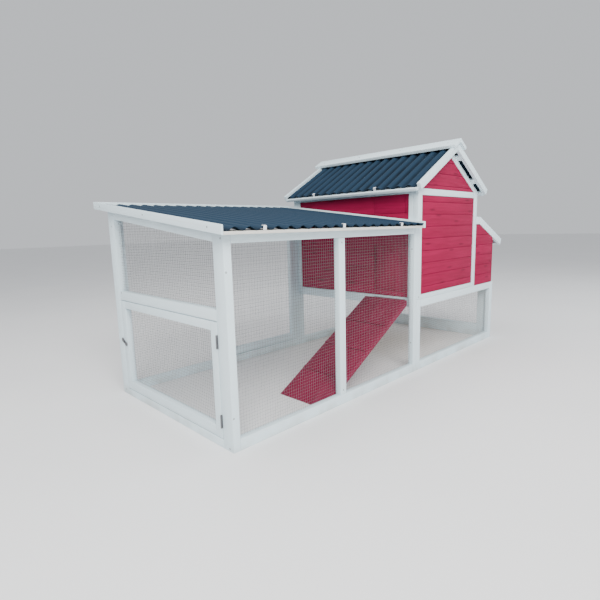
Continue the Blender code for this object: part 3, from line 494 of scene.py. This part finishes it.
class Piece:
    """One visual piece, gathered from solids and grown meshes."""

    def __init__(self, node):
        self.node = node
        self.box = Box(node)
        self.shape = bmesh.new()
        self.shape.loops.layers.uv.new("grain")
        self.materials = []
        self.boards = 0
        self.heads = []

    def slot(self, material):
        if material not in self.materials:
            self.materials.append(material)
        return self.materials.index(material)

    def add_mesh(self, mesh, material, matrix=None):
        if matrix is not None:
            mesh.transform(matrix)
        slot = self.slot(material)
        for face in mesh.polygons:
            face.material_index = slot
        self.shape.from_mesh(mesh)
        bpy.data.meshes.remove(mesh)

    def add_solid(self, solid, material, grain, smooth=False):
        """Takes a bmesh in, with its texture laid along the grain."""
        self.boards += 1
        grain = Vector(grain).normalized()
        layer = solid.loops.layers.uv.new("grain")
        solid.normal_update()
        corners = [vert.co for vert in solid.verts]
        centre = sum(corners, Vector()) / len(corners)
        shift = chance.uniform(0, 9)
        for face in solid.faces:
            side = face.normal.cross(grain)
            along = grain
            if side.length < 0.4:
                along = face.normal.orthogonal()
                side = face.normal.cross(along)
            for loop in face.loops:
                local = loop.vert.co - centre
                loop[layer].uv = (local.dot(along) + shift, self.boards + 0.5 + local.dot(side.normalized()))
            face.smooth = smooth
        mesh = bpy.data.meshes.new("solid")
        solid.to_mesh(mesh)
        solid.free()
        self.add_mesh(mesh, material)

    def prism(self, axis, outline, low, high, grain, material, ease=EASE, segments=2):
        """An outline in the two other axes, given its depth along one axis, with eased edges."""
        solid = bmesh.new()

        def corner(point, depth):
            place = list(point)
            place.insert(axis, depth)
            return solid.verts.new(place)

        base = solid.faces.new([corner(point, low) for point in outline])
        pushed = new_verts(bmesh.ops.extrude_face_region(solid, geom=[base]))
        shift = [0.0, 0.0, 0.0]
        shift[axis] = high - low
        bmesh.ops.translate(solid, vec=shift, verts=pushed)
        bmesh.ops.recalc_face_normals(solid, faces=solid.faces)
        if ease:
            bmesh.ops.bevel(solid, geom=list(solid.edges), offset=ease, segments=segments, profile=0.6,
                            affect="EDGES", clamp_overlap=True)
        self.add_solid(solid, material, grain)

    def fill(self, grain, material, *edges):
        """One timber that fills the node's box."""
        b = self.box
        self.prism(1, rectangle(b.x0, b.x1, b.z0, b.z1), b.y0, b.y1, grain, material, *edges)

    def member(self, axis, outline, low, high, grain, material, ease=EASE):
        """A prism drawn in by the open joint on the side faces of its outline."""
        middle = sum(outline, Vector((0, 0))) / len(outline)
        drawn = list(outline)
        for first, second in zip(outline, outline[1:] + outline[:1]):
            edge = (second - first)
            if edge.length < 0.0001:
                continue
            away = Vector((edge.y, -edge.x)).normalized()
            if (middle - first).dot(away) > 0:
                away = -away
            drawn = clipped(drawn, first - away * SEAM, away)
        self.prism(axis, drawn, low, high, grain, material, ease)

    def cylinder(self, centre, along, radius, length, material, sides=20, ease=0.0003):
        solid = bmesh.new()
        bmesh.ops.create_cone(solid, cap_ends=True, segments=sides, radius1=radius, radius2=radius,
                              depth=length)
        rims = [edge for edge in solid.edges if abs(edge.calc_face_angle(0)) > 1.2]
        bmesh.ops.bevel(solid, geom=rims, offset=ease, segments=2, affect="EDGES")
        turn = Vector(along).to_track_quat("Z", "Y").to_matrix().to_4x4()
        bmesh.ops.transform(solid, matrix=Matrix.Translation(centre) @ turn, verts=solid.verts)
        self.add_solid(solid, material, along, smooth=True)

    def planks(self, axis, outline, low, high, seams, grain, material):
        """Boards laid one above another inside a convex outline, tongued behind each seam."""
        levels = [min(p.y for p in outline)] + sorted(seams) + [max(p.y for p in outline)]
        for bottom, top in zip(levels, levels[1:]):
            strip = between(outline, bottom + PLANK_SEAM, top - PLANK_SEAM)
            if len(strip) > 2 and top - bottom > TONGUE:
                sunk = chance.uniform(0.0, PLANK_STRAY)
                self.prism(axis, strip, low + sunk, high - sunk, grain, material, PLANK_EASE)
        depth = high - low
        for seam in sorted(seams):
            tongue = between(outline, seam - TONGUE, seam + TONGUE)
            if len(tongue) > 2:
                self.prism(axis, tongue, low + depth * 0.4, high - depth * 0.3, grain, material, 0)

    def screws(self, places, facing):
        """Screw heads, a hair over the surface they are driven into."""
        facing = Vector(facing)
        self.heads += [(Vector(place) + facing * PROUD, facing) for place in places]

    def hinge_pins(self, joint, heights):
        """Hinge barrels on a plumb joint's axis."""
        x, y, _ = JOINTS[joint]["pos_m"]
        for z in heights:
            self.cylinder((x, y, z), Z, PIN_RADIUS, PIN_LENGTH, STEEL)

    def finish(self):
        if self.heads:
            values = {"Head": SCREW_HEAD, "Seed": len(self.heads), "Material": SCREW}
            self.add_mesh(SCREWS.mesh(values, self.heads), SCREW)
        mesh = bpy.data.meshes.new(self.node)
        self.shape.to_mesh(mesh)
        self.shape.free()
        for material in self.materials:
            mesh.materials.append(material)
        mesh.set_sharp_from_angle(angle=math.radians(40))
        item = in_scene(self.node + "_look", mesh)
        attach(item, BODY_OF[self.node])
        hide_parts(self.node)
        return item


def spaced(first, last, count):
    return [first + (last - first) * i / (count - 1) for i in range(count)]


def straight(node, grain, material=None):
    """A plain timber that fills its node's box, but for an open joint at each end."""
    piece = Piece(node)
    b = piece.box
    low, high = b.low + grain * END_JOINT, b.high - grain * END_JOINT
    piece.prism(1, rectangle(low.x, high.x, low.z, high.z), low.y, high.y, grain, material or WHITE)
    return piece


def run_line(y, level, at):
    """Height at y of a line parallel to the run roof, which is 'level' high at 'at'."""
    return level + RUN_PITCH * (y - at)


def leaning(b):
    """Section, across the run, of a board that lies along its roof and fills a box."""
    rise = RUN_PITCH * (b.y1 - b.y0)
    return [Vector((b.y0, b.z0)), Vector((b.y1, b.z0 + rise)), Vector((b.y1, b.z1)),
            Vector((b.y0, b.z1 - rise))]


# ---- wire mesh ----
def wire_mesh(node, slope=0.0):
    piece = Piece(node)
    b = piece.box
    size = b.high - b.low
    wide = max(size.x, size.y)
    values = {"Width": wide, "Height": size.z - slope * wide, "Slope": slope, "Pitch": WIRE_PITCH,
              "Radius": WIRE_RADIUS, "Seed": float(len(node)), "Material": WIRE}
    turn = Matrix.Identity(4) if size.x > size.y else Matrix.Rotation(math.pi / 2, 4, "Z")
    corner = Vector((b.x0 if size.x > size.y else b.middle.x, b.y0 if size.y > size.x else b.middle.y, b.z0))
    piece.add_mesh(WIRES.mesh(values), WIRE, Matrix.Translation(corner) @ turn)
    piece.finish()


# ---- framed panels ----
def framed(node, axis, opening, clear, finish=True):
    """Stiles from top to bottom and rails between them, round the opening of another node."""
    piece = Piece(node)
    b, o = piece.box, Box(opening)
    if axis == 0:
        low, high, a0, a1, o0, o1, across = b.x0, b.x1, b.y0, b.y1, o.y0, o.y1, Y
    else:
        low, high, a0, a1, o0, o1, across = b.y0, b.y1, b.x0, b.x1, o.x0, o.x1, X
    o0, o1, bottom, top = o0 - clear, o1 + clear, o.z0 - clear, o.z1 + clear
    for left, right in ((a0, o0), (o1, a1)):
        piece.member(axis, rectangle(left, right, b.z0, b.z1), low, high, Z, WHITE)
    for below, above in ((b.z0, bottom), (top, b.z1)):
        piece.member(axis, rectangle(o0, o1, below, above), low, high, across, WHITE)
    if finish:
        piece.finish()
    return piece


# ---- the run ----
def run_end():
    near, far, top = Piece("run_end_near_stile"), Piece("run_end_far_stile"), Piece("run_end_top_rail")
    for piece in (near, far):
        b = piece.box
        outline = [Vector((b.y0, b.z0)), Vector((b.y1, b.z0)), Vector((b.y1, b.z1)),
                   Vector((b.y0, run_line(b.y0, b.z1, b.y1)))]
        piece.prism(0, outline, b.x0, b.x1, Z, WHITE)
    n, f = near.box, far.box
    near.screws([(n.x0, n.y0 + 0.023, n.z0 + 0.010), (n.x0, n.y0 + 0.013, n.z1 - 0.024)], -X)
    near.screws([(n.x0 + 0.007, n.y0, z) for z in (0.128, 0.643)], -Y)
    far.screws([(f.x0, f.middle.y, z) for z in (0.020, f.z1 - 0.075)], -X)
    near.finish()
    far.finish()
    b = top.box
    top.prism(0, leaning(b), b.x0, b.x1, Y + Z * RUN_PITCH, WHITE)
    top.finish()
    straight("run_end_bottom_rail", Y).finish()
    rail = straight("run_end_mid_rail", Y)
    b = rail.box
    rail.screws([(b.x0, b.y1 - 0.0165, b.z1 - 0.0055)], -X)
    rail.finish()
    wire_mesh("run_end_mesh", RUN_PITCH)


KNUCKLES = 5
KNUCKLE_RADIUS = 0.0035


def butt_hinge(node):
    """A slim butt hinge: knuckles round a pin, and a leaf let into the stile."""
    piece = Piece(node)
    b = piece.box
    x, y = b.x0 + KNUCKLE_RADIUS, b.y1 - KNUCKLE_RADIUS
    length = (b.z1 - b.z0) / KNUCKLES
    for i in range(KNUCKLES):
        piece.cylinder((x, y, b.z0 + length * (i + 0.5)), Z, KNUCKLE_RADIUS, length - 0.0006, STEEL)
    piece.cylinder((x, y, b.middle.z), Z, KNUCKLE_RADIUS * 0.5, b.z1 - b.z0 - 0.0002, SCREW)
    leaf = rectangle(x, b.x1, b.z0, b.z1)
    face = JOINTS["run_door_hinge"]["pos_m"][1] - 0.0011
    piece.prism(1, leaf, face, face + 0.0009, Z, STEEL, 0.0002)
    piece.finish()


def waisted(centre, way, reach, half, waist, steps=12):
    """Outline of a bar with round ends that is drawn in at its middle."""
    side = Vector((-way.y, way.x))
    outline = []
    for sign in (1, -1):
        for step in range(steps + 1):
            angle = math.pi * (step / steps - 0.5)
            arc = way * (reach + half * math.cos(angle)) + side * half * math.sin(angle)
            outline.append(centre + arc * sign)
        outline.append(centre + side * waist * sign)
    return outline


BUTTON = {"reach": 0.019, "half": 0.0093, "waist": 0.0044}
BUTTON_LEAN = math.radians(27)
BUTTON_FACES = (0.0016, 0.0045)    # its inner and outer face, from the door
BUTTON_SCREW = (0.0049, 0.0062)    # radius and length


def turn_button(node, joint, axis, lean):
    """A pressed bar on a screw, proud of the door's face."""
    piece = Piece(node)
    place = Vector(JOINTS[joint]["pos_m"])
    outward = -1 if axis == 0 else 1
    flat = Vector((place.y, place.z)) if axis == 0 else Vector((place.x, place.z))
    way = Vector((lean * math.cos(BUTTON_LEAN), math.sin(BUTTON_LEAN)))
    depths = sorted(place[axis] + outward * depth for depth in BUTTON_FACES)
    piece.prism(axis, waisted(flat, way, **BUTTON), *depths, Z, STEEL, 0)
    face = Vector((0, 0, 0))
    face[axis] = outward
    radius, length = BUTTON_SCREW
    piece.cylinder(place + face * (0.0003 + length / 2), face, radius, length, SCREW, 24)
    piece.screws([place + face * (length + PROUD)], face)
    piece.finish()


def run_doors():
    framed("run_door_frame", 0, "run_door_mesh", MESH_CLEAR)
    wire_mesh("run_door_mesh")
    butt_hinge("run_door_hinge_upper")
    butt_hinge("run_door_hinge_lower")
    turn_button("run_door_button", "run_door_button_turn", 0, 1)
    back = framed("run_back_door_frame", 1, "run_back_door_mesh", MESH_CLEAR, finish=False)
    back.hinge_pins("run_back_door_hinge", (back.box.z0 + 0.10, back.box.z1 - 0.10))
    back.finish()
    wire_mesh("run_back_door_mesh")
    turn_button("run_back_door_button", "run_back_door_button_turn", 1, 1)


def run_sides():
    straight("run_front_bottom_rail", X).finish()
    straight("run_front_top_rail", X).finish()
    post = straight("run_front_mid_post", Z)
    b = post.box
    post.screws([(b.middle.x, b.y0, z) for z in (b.z0 + 0.02, b.z1 - 0.02)], -Y)
    post.finish()
    end = straight("run_front_end_post", Z)
    b = end.box
    end.screws([(b.x0, b.middle.y, z) for z in (0.16, 0.66)], -X)
    end.finish()
    for node in ("run_front_mesh_end", "run_front_mesh_house", "run_back_mesh"):
        wire_mesh(node)
    back = Piece("run_back_frame")
    b, bay, door = back.box, Box("run_back_mesh"), Box("run_back_door_frame")
    bottom, top = bay.z0 - MESH_CLEAR, bay.z1 + MESH_CLEAR
    posts = ((b.x0, bay.x0 - MESH_CLEAR), (bay.x1 + MESH_CLEAR, door.x0 - DOOR_CLEAR),
             (door.x1 + DOOR_CLEAR, b.x1))
    for left, right in posts:
        back.member(1, rectangle(left, right, bottom, top), b.y0, b.y1, Z, WHITE)
    for below, above in ((b.z0, bottom), (top, b.z1)):
        back.member(1, rectangle(b.x0, b.x1, below, above), b.y0, b.y1, X, WHITE)
    back.finish()


def run_roof():
    for node in ("run_roof_end_fascia", "run_roof_house_fascia"):
        piece = Piece(node)
        b = piece.box
        piece.prism(0, leaning(b), b.x0, b.x1, Y + Z * RUN_PITCH, WHITE)
        if node == "run_roof_end_fascia":
            height = b.z1 - b.z0 - RUN_PITCH * (b.y1 - b.y0)
            face = [(b.x0, b.y0 + along, run_line(b.y0 + along, b.z0 + height / 2, b.y0))
                    for along in (0.080, 0.533, 0.960)]
            piece.screws(face, -X)
        piece.finish()
    for node, material in (("run_roof_back_fascia", WHITE), ("run_roof_eave_batten", WHITE_STAINED),
                           ("run_roof_mid_batten", WHITE_STAINED)):
        piece = Piece(node)
        b = piece.box
        piece.prism(0, leaning(b), b.x0, b.x1, X, material)
        piece.finish()


# ---- corrugated sheets and their clips ----
CLIP = 0.0075
CLIP_THICK = 0.0022


def clip(piece, matrix, x, edge, height):
    """A white square plate against the sheet's lower edge, bent back over its top."""
    parts = (((-CLIP, edge, 0.0003), (CLIP, edge + CLIP_THICK, height)),
             ((-CLIP, edge, height - 0.0003), (CLIP, edge + 0.012, height + 0.0013)))
    for low, high in parts:
        solid = bmesh.new()
        bmesh.ops.create_cube(solid, size=1.0)
        size = Vector(high) - Vector(low)
        bmesh.ops.scale(solid, vec=size, verts=solid.verts)
        bmesh.ops.bevel(solid, geom=list(solid.edges), offset=0.0005, segments=2, affect="EDGES",
                        clamp_overlap=True)
        bmesh.ops.translate(solid, vec=Vector((x, 0, 0)) + Vector(low) + size / 2, verts=solid.verts)
        bmesh.ops.transform(solid, matrix=matrix, verts=solid.verts)
        piece.add_solid(solid, PLASTIC, X)


def corrugated(node, outward, pitch, clips=(), start=0.0):
    """A sheet on a slope that falls towards 'outward', sized to its node's box."""
    piece = Piece(node)
    b = piece.box
    angle = math.atan(pitch)
    sine, cosine = math.sin(angle), math.cos(angle)
    size = b.high - b.low
    level = abs(outward.dot(size))
    run = (level * cosine - size.z * sine) / (cosine ** 2 - sine ** 2)
    depth = (size.z * cosine - level * sine) / (cosine ** 2 - sine ** 2)
    up = outward * sine + Z * cosine
    rise = -outward * cosine + Z * sine
    along = rise.cross(up)
    length = abs(along.dot(size))
    edge = max(outward.dot(b.low), outward.dot(b.high)) - depth * sine
    centre = b.middle - outward * outward.dot(b.middle) + outward * (edge - run / 2 * cosine)
    centre.z = b.z0 + run / 2 * sine
    matrix = Matrix.Translation(centre) @ Matrix((along, rise, up)).transposed().to_4x4()
    values = {"Length": length, "Run": run - 0.002, "Depth": depth - SHEET, "Pitch": WAVE_PITCH,
              "Thickness": SHEET, "Seed": float(len(node)), "Start": start, "Material": ROOFING}
    piece.add_mesh(SHEETS.mesh(values), ROOFING, matrix)
    for share in clips:
        clip(piece, matrix, (share - 0.5) * length, -run / 2, depth)
    piece.finish()


# ---- the base ----
def base():
    framed("base_front_frame", 1, "base_front_mesh", MESH_CLEAR)
    framed("base_back_frame", 1, "base_back_mesh", MESH_CLEAR)
    framed("base_end_frame", 0, "base_end_mesh", MESH_CLEAR)
    for node in ("base_front_mesh", "base_back_mesh", "base_end_mesh"):
        wire_mesh(node)


# ---- the house ----
RAFTER = 0.030             # width of a rafter, square to the slope


def slope(pitch, side=1):
    """Directions down one slope of a roof and square to it, and the slope's length to the metre."""
    length = math.hypot(1, pitch)
    return Vector((side, -pitch)) / length, Vector((side * pitch, 1)) / length, length


def gable_frame(node, opening, clear, gable):
    """Posts, sill, tie and rafters, cut to the roof's slopes."""
    piece = Piece(node)
    b, o, g = piece.box, Box(opening), Box(gable)
    apex = Vector((b.middle.x, b.z1))
    left, right, bottom, top = o.x0 - clear, o.x1 + clear, o.z0 - clear, o.z1 + clear
    tie_top = g.z0 - MESH_CLEAR
    up = {side: slope(HOUSE_PITCH, side)[1] for side in (-1, 1)}
    for side, (first, last) in ((-1, (b.x0, left)), (1, (right, b.x1))):
        post = clipped(rectangle(first, last, b.z0, b.z1), apex - up[side] * RAFTER, up[side])
        piece.member(1, post, b.y0, b.y1, Z, WHITE)
        rafter = rectangle(*((b.x0, apex.x) if side < 0 else (apex.x, b.x1)), b.z0, b.z1)
        rafter = clipped(rafter, apex, up[side])
        rafter = clipped(rafter, apex - up[side] * RAFTER, -up[side])
        piece.member(1, rafter, b.y0, b.y1, Vector((1, 0, -side * HOUSE_PITCH)), WHITE)
    piece.member(1, rectangle(left, right, b.z0, bottom), b.y0, b.y1, X, WHITE)
    tie = rectangle(left, right, top, tie_top)
    for side in (-1, 1):
        tie = clipped(tie, apex - up[side] * RAFTER, up[side])
    piece.member(1, tie, b.y0, b.y1, X, WHITE)
    return piece


def gable_planks(node):
    piece = Piece(node)
    b = piece.box
    triangle = [Vector((b.x0, b.z0)), Vector((b.x1, b.z0)), Vector((b.middle.x, b.z1))]
    seams = [b.z0 + 0.020 + PLANK * i for i in range(3)]
    piece.planks(1, triangle, b.y0, b.y1, seams, X, RED)
    piece.finish()


def house():
    front = gable_frame("house_front_frame", "house_front_planks", MESH_CLEAR, "house_front_gable_planks")
    b = front.box
    front.screws([(b.x0 + 0.020, b.y0, b.z0 + 0.013), (b.x1 - 0.020, b.y0, b.z0 + 0.013)], -Y)
    front.finish()
    gable_frame("house_back_frame", "house_back_door", DOOR_CLEAR, "house_back_gable_planks").finish()
    gable_planks("house_front_gable_planks")
    gable_planks("house_back_gable_planks")
    wall = Piece("house_front_planks")
    b = wall.box
    seams = [b.z1 - 0.033 - PLANK * i for i in range(8)]
    wall.planks(1, rectangle(b.x0, b.x1, b.z0, b.z1), b.y0, b.y1, seams, X, RED)
    wall.finish()
    door = Piece("house_back_door")
    b = door.box
    seams = [b.z0 + PLANK * i for i in range(1, 8)]
    door.planks(1, rectangle(b.x0, b.x1, b.z0, b.z1), b.y0, b.y1, seams, X, RED)
    door.hinge_pins("house_back_door_hinge", (b.z0 + 0.08, b.z1 - 0.08))
    door.finish()
    turn_button("house_back_door_button", "house_back_door_button_turn", 1, -1)
    framed("house_run_wall_frame", 0, "house_run_wall_planks", MESH_CLEAR)
    run_wall_planks()
    nest_wall()
    for node in ("house_floor", "nest_floor"):
        floor = Piece(node)
        b = floor.box
        count = 6
        edges = spaced(b.x0, b.x1, count + 1)
        for left, right in zip(edges, edges[1:]):
            floor.member(1, rectangle(left, right, b.z0, b.z1), b.y0, b.y1, Y, RAW, 0.0008)
        floor.finish()
    perch = Piece("perch")
    perch.fill(Y, RAW, 0.006, 4)
    perch.finish()
    door = Piece("pop_door")
    b = door.box
    edges = spaced(b.y0, b.y1, 4)
    for near, far in zip(edges, edges[1:]):
        door.member(0, rectangle(near, far, b.z0, b.z1), b.x0, b.x1, Z, RED, 0.001)
    door.finish()


POP_LAP = 0.010


def run_wall_planks():
    """Planks of the house's run wall, cut round the pop hole."""
    piece = Piece("house_run_wall_planks")
    b, pop = piece.box, Box("pop_door")
    sill = Box("house_floor").z1 + 0.024
    hole = (pop.y0 + POP_LAP, pop.y1 - POP_LAP, sill, pop.z1 - POP_LAP)
    count = int((b.z1 - b.z0) / SIDE_PLANK)
    seams = [b.z1 - SIDE_PLANK * i for i in range(1, count + 1)]
    parts = ((b.y0, hole[0], b.z0, b.z1), (hole[1], b.y1, b.z0, b.z1), (hole[0], hole[1], b.z0, hole[2]),
             (hole[0], hole[1], hole[3], b.z1))
    for near, far, bottom, top in parts:
        inside = [seam for seam in seams if bottom < seam < top]
        piece.planks(0, rectangle(near, far, bottom, top), b.x0, b.x1, inside, Y, RED)
    piece.finish()


WALL_STILE = 0.027
NEST_HEADER = 0.204


def nest_wall():
    """The house's wall to the nest box: a red frame, with planks over the nest opening."""
    piece = Piece("house_nest_wall")
    b = piece.box
    near, far = b.y0 + WALL_STILE, b.y1 - WALL_STILE
    sill, header = Box("house_front_planks").z0 - MESH_CLEAR, b.z1 - NEST_HEADER
    for first, last in ((b.y0, near), (far, b.y1)):
        piece.member(0, rectangle(first, last, b.z0, b.z1), b.x0, b.x1, Z, RED)
    piece.member(0, rectangle(near, far, b.z0, sill), b.x0, b.x1, Y, RED)
    seams = [b.z1 - PLANK * i for i in range(1, 4)]
    piece.planks(0, rectangle(near, far, header, b.z1), b.x0, b.x1, seams, Y, RED)
    piece.finish()


# ---- the house's roof ----
PURLINS = ((0.052, 0.092), (0.284, 0.324), (0.420, 0.458))   # from the ridge, down the slope
PURLIN = 0.0152            # thickness of a purlin
BARGE = 0.0355             # width of a barge board, square to the slope
BARGE_THICK = 0.019
RIDGE_THICK = 0.018
GAP = 0.0004


def roof_frame(node, side):
    """Barge boards and purlins of one slope, measured from where the rafters' tops meet."""
    piece = Piece(node)
    b, gable = piece.box, Box("house_front_frame")
    apex = Vector((gable.middle.x, gable.z1 + GAP))
    down, up, length = slope(HOUSE_PITCH, side)
    outer = b.x1 if side > 0 else b.x0
    for near, far in ((b.y0, b.y0 + BARGE_THICK), (b.y1 - BARGE_THICK, b.y1)):
        inner = b.x0 if side > 0 else b.x1
        board = rectangle(*sorted((inner, outer)), b.z0 - 0.1, b.z1 + 0.1)
        board = clipped(board, apex + up * GAP, -up)
        board = clipped(board, apex + up * BARGE, up)
        reach = (abs(outer - apex.x) - BARGE * HOUSE_PITCH / length) * length
        board = clipped(board, apex + down * reach, down)
        piece.prism(1, board, near, far, Vector((down.x, 0, down.y)), WHITE)
    inside = (b.y0 + BARGE_THICK - 0.0002, b.y1 - BARGE_THICK + 0.0002)
    for start, end in PURLINS:
        corners = ((start, GAP), (end, GAP), (end, PURLIN), (start, PURLIN))
        piece.prism(1, [apex + down * s + up * h for s, h in corners], *inside, Y, WHITE)
    piece.finish()


def ridge_cap():
    """Two boards that meet in a plumb joint over the ridge."""
    piece = Piece("ridge_cap")
    b = piece.box
    peak = Vector((b.middle.x, b.z1))
    for side in (-1, 1):
        down, up, length = slope(HOUSE_PITCH, side)
        board = rectangle(*sorted((peak.x, b.x1 if side > 0 else b.x0)), b.z0, b.z1 + 0.05)
        board = clipped(board, peak, up)
        board = clipped(board, peak - up * RIDGE_THICK, -up)
        foot = abs((b.x1 if side > 0 else b.x0) - peak.x) * length
        board = clipped(board, peak + down * foot, down)
        piece.member(1, board, b.y0, b.y1, Y, WHITE)
        for y in spaced(b.y0 + 0.06, b.y1 - 0.06, 4):
            spot = peak + down * foot * 0.5
            piece.screws([(spot.x, y, spot.y)], Vector((up.x, 0, up.y)))
    piece.finish()


# ---- the nest box ----
LID_BOARD = 0.042          # width of the lid's side boards, square to the slope
LID_THICK = 0.018
LID_BATTEN = 0.018         # thickness of the batten at the lid's lower edge
LID_BATTEN_TOP = 0.018     # lid's upper edge to the top of its battens
NEST_BOARD = 0.012


def nest_box():
    hinge = Vector(JOINTS["nest_lid_hinge"]["pos_m"])
    piece = Piece("nest_walls")
    b = piece.box
    fall = LID_PITCH * (b.x1 - hinge.x)
    side = [Vector((b.x0, b.z0)), Vector((b.x1 - NEST_BOARD, b.z0)),
            Vector((b.x1 - NEST_BOARD, b.z1 - fall + LID_PITCH * NEST_BOARD)), Vector((hinge.x, b.z1)),
            Vector((b.x0, b.z1))]
    seams = [b.z0 + PLANK * i for i in range(1, 7)]
    piece.planks(1, side, b.y0, b.y0 + NEST_BOARD, seams, X, RED)
    piece.planks(1, side, b.y1 - NEST_BOARD, b.y1, seams, X, RED)
    front = rectangle(b.y0, b.y1, b.z0, b.z1 - fall)
    piece.planks(0, front, b.x1 - NEST_BOARD, b.x1, [z for z in seams if z < b.z1 - fall], Y, RED)
    for y, way in ((b.y0, -Y), (b.y1, Y)):
        piece.screws([(b.x1 - 0.006, y, b.z0 + PLANK * (i + 0.5)) for i in range(4)], way)
    piece.finish()
    divider = Piece("nest_divider")
    d = divider.box
    low_top = b.z1 - fall - 0.010
    outline = [Vector((d.x0, d.z0)), Vector((d.x1, d.z0)), Vector((d.x1, low_top)), Vector((d.x0, d.z1))]
    divider.planks(1, outline, d.y0, d.y1, [d.z0 + 0.11, d.z0 + 0.22], X, RAW)
    divider.finish()
    straight("nest_lid_ledge", Y).finish()
    lid = Piece("nest_lid_frame")
    b = lid.box
    down, up, length = slope(LID_PITCH)
    pin = Vector((hinge.x, hinge.z))
    reach = (b.x1 - hinge.x) * length
    board = rectangle(hinge.x + GAP, b.x1, b.z0 - 0.1, b.z1)
    board = clipped(clipped(board, pin, up), pin - up * LID_BOARD, -up)
    board = clipped(board, pin + down * reach, down)
    way = Vector((down.x, 0, down.y))
    for near, far in ((b.y0, b.y0 + LID_THICK), (b.y1 - LID_THICK, b.y1)):
        lid.prism(1, board, near, far, way, WHITE)
    for start, end in ((0.020, 0.050), (reach - LID_BATTEN, reach - GAP)):
        low, high = LID_BOARD - 0.002, LID_BATTEN_TOP
        strip = [pin + down * s - up * h for s, h in ((start, low), (end, low), (end, high), (start, high))]
        lid.prism(1, strip, b.y0 + LID_THICK, b.y1 - LID_THICK, Y, WHITE)
    lid.finish()


# ---- the ramp ----
RAMP_BOARD = 0.012
RUNNER = (0.020, 0.025)    # width and depth of a side runner
CLEATS = (0.265, 0.51, 0.755)
CLEAT_SIZE = (0.020, 0.008)


def ramp():
    piece = Piece("ramp")
    b = piece.box
    pin = JOINTS["ramp_hinge"]["pos_m"]
    top, foot = Vector((pin[0], pin[2])), Vector((b.x0, 0.0))
    down = (foot - top).normalized()
    up = Vector((down.y, -down.x))

    def layer(above, below):
        """Section of the ramp between two depths, level at the foot and plumb at the top."""
        foot_shift, top_drop = -1 / down.y, -1 / down.x
        return [top - Vector((0, above * top_drop)), foot + Vector((above * foot_shift, 0)),
                foot + Vector((below * foot_shift, 0)), top - Vector((0, below * top_drop))]

    edges = spaced(b.y0, b.y1, 4)
    way = Vector((down.x, 0, down.y))
    for near, far in zip(edges, edges[1:]):
        piece.prism(1, layer(0, RAMP_BOARD), near + 0.0001, far - 0.0001, way, RAMP_RED, 0.0008)
    width, depth = RUNNER
    for near, far in ((b.y0, b.y0 + width), (b.y1 - width, b.y1)):
        piece.prism(1, layer(RAMP_BOARD - 0.0005, depth), near + 0.0003, far - 0.0003, way, RAMP_RED, 0.0008)
    length = (foot - top).length
    wide, tall = CLEAT_SIZE
    for share in CLEATS:
        centre = top + down * length * share
        corners = ((-wide / 2, -0.001), (wide / 2, -0.001), (wide / 2, tall), (-wide / 2, tall))
        strip = [centre + down * a + up * h for a, h in corners]
        piece.prism(1, strip, b.y0 + 0.006, b.y1 - 0.006, Y, RAMP_RED, 0.0015)
        head = centre + up * tall
        piece.screws([(head.x, y, head.y) for y in spaced(b.y0 + 0.03, b.y1 - 0.03, 3)],
                     Vector((up.x, 0, up.y)))
    piece.finish()
    hanger = Piece("ramp_hanger")
    b = hanger.box
    hanger.fill(Y, STEEL, 0.0005)
    hanger.screws([(b.middle.x + 0.006, y, b.z1) for y in spaced(b.y0 + 0.02, b.y1 - 0.02, 3)], Z)
    hanger.finish()


run_end()
run_doors()
run_sides()
run_roof()
corrugated("run_roof_sheet", -Y, RUN_PITCH, (0.140, 0.487, 0.836), RUN_WAVE_START)
base()
house()
roof_frame("roof_frame_run_side", -1)
roof_frame("roof_frame_nest_side", 1)
corrugated("roof_sheet_run_side", -X, HOUSE_PITCH, (0.2555, 0.729))
corrugated("roof_sheet_nest_side", X, HOUSE_PITCH, (0.271, 0.745))
ridge_cap()
nest_box()
corrugated("nest_lid_sheet", X, LID_PITCH)
ramp()
bpy.data.objects.remove(SCREW_HEAD, do_unlink=True)


# ---- camera, floor and light ----
def studio():
    camera = in_scene("camera", bpy.data.cameras.new("camera"))
    camera.data.lens = 26.47
    camera.data.sensor_width = 36.0
    camera.location = (-1.9893, -1.6768, 0.7818)
    camera.rotation_euler = (1.4096, 0.0263, -0.7819)
    bpy.context.scene.camera = camera

    ground = Finish("studio_floor")
    cloud = ground.noise(ground.place, 1.5, 4.0)
    fine = ground.noise(ground.place, 240.0, 2.0)
    tint = ground.mix(cloud, (0.86, 0.86, 0.86), (0.80, 0.80, 0.81))
    ground.done(tint, 0.7 + fine * 0.15, fine, 0.0005, 0.2)
    mesh = bpy.data.meshes.new("floor")
    shape = bmesh.new()
    bmesh.ops.create_grid(shape, x_segments=1, y_segments=1, size=30.0)
    shape.to_mesh(mesh)
    shape.free()
    mesh.uv_layers.new(name="grain")
    mesh.materials.append(ground.material)
    floor = in_scene("floor", mesh)
    floor.location.z = -0.0005

    world = bpy.data.worlds.new("studio")
    world.use_nodes = True
    world.node_tree.nodes["Background"].inputs["Color"].default_value = (0.93, 0.96, 1.0, 1.0)
    world.node_tree.nodes["Background"].inputs["Strength"].default_value = 0.74
    bpy.context.scene.world = world
    lamps = (("key", (-2.6, -3.4, 3.6), 3.0, 360.0, (1.0, 0.985, 0.96)),
             ("fill", (3.6, -3.2, 2.6), 3.0, 95.0, (0.92, 0.96, 1.0)),
             ("side", (-4.0, 0.8, 2.0), 2.5, 22.0, (1.0, 0.97, 0.94)),
             ("top", (-1.4, 0.4, 4.2), 2.5, 60.0, (1.0, 1.0, 1.0)))
    for name, place, size, power, colour in lamps:
        light = bpy.data.lights.new(name, "AREA")
        light.size = size
        light.energy = power
        light.color = colour
        lamp = in_scene(name, light)
        lamp.location = place
        aim = Vector((0.0, 0.0, 0.5)) - Vector(place)
        lamp.rotation_euler = aim.to_track_quat("-Z", "Y").to_euler()


studio()
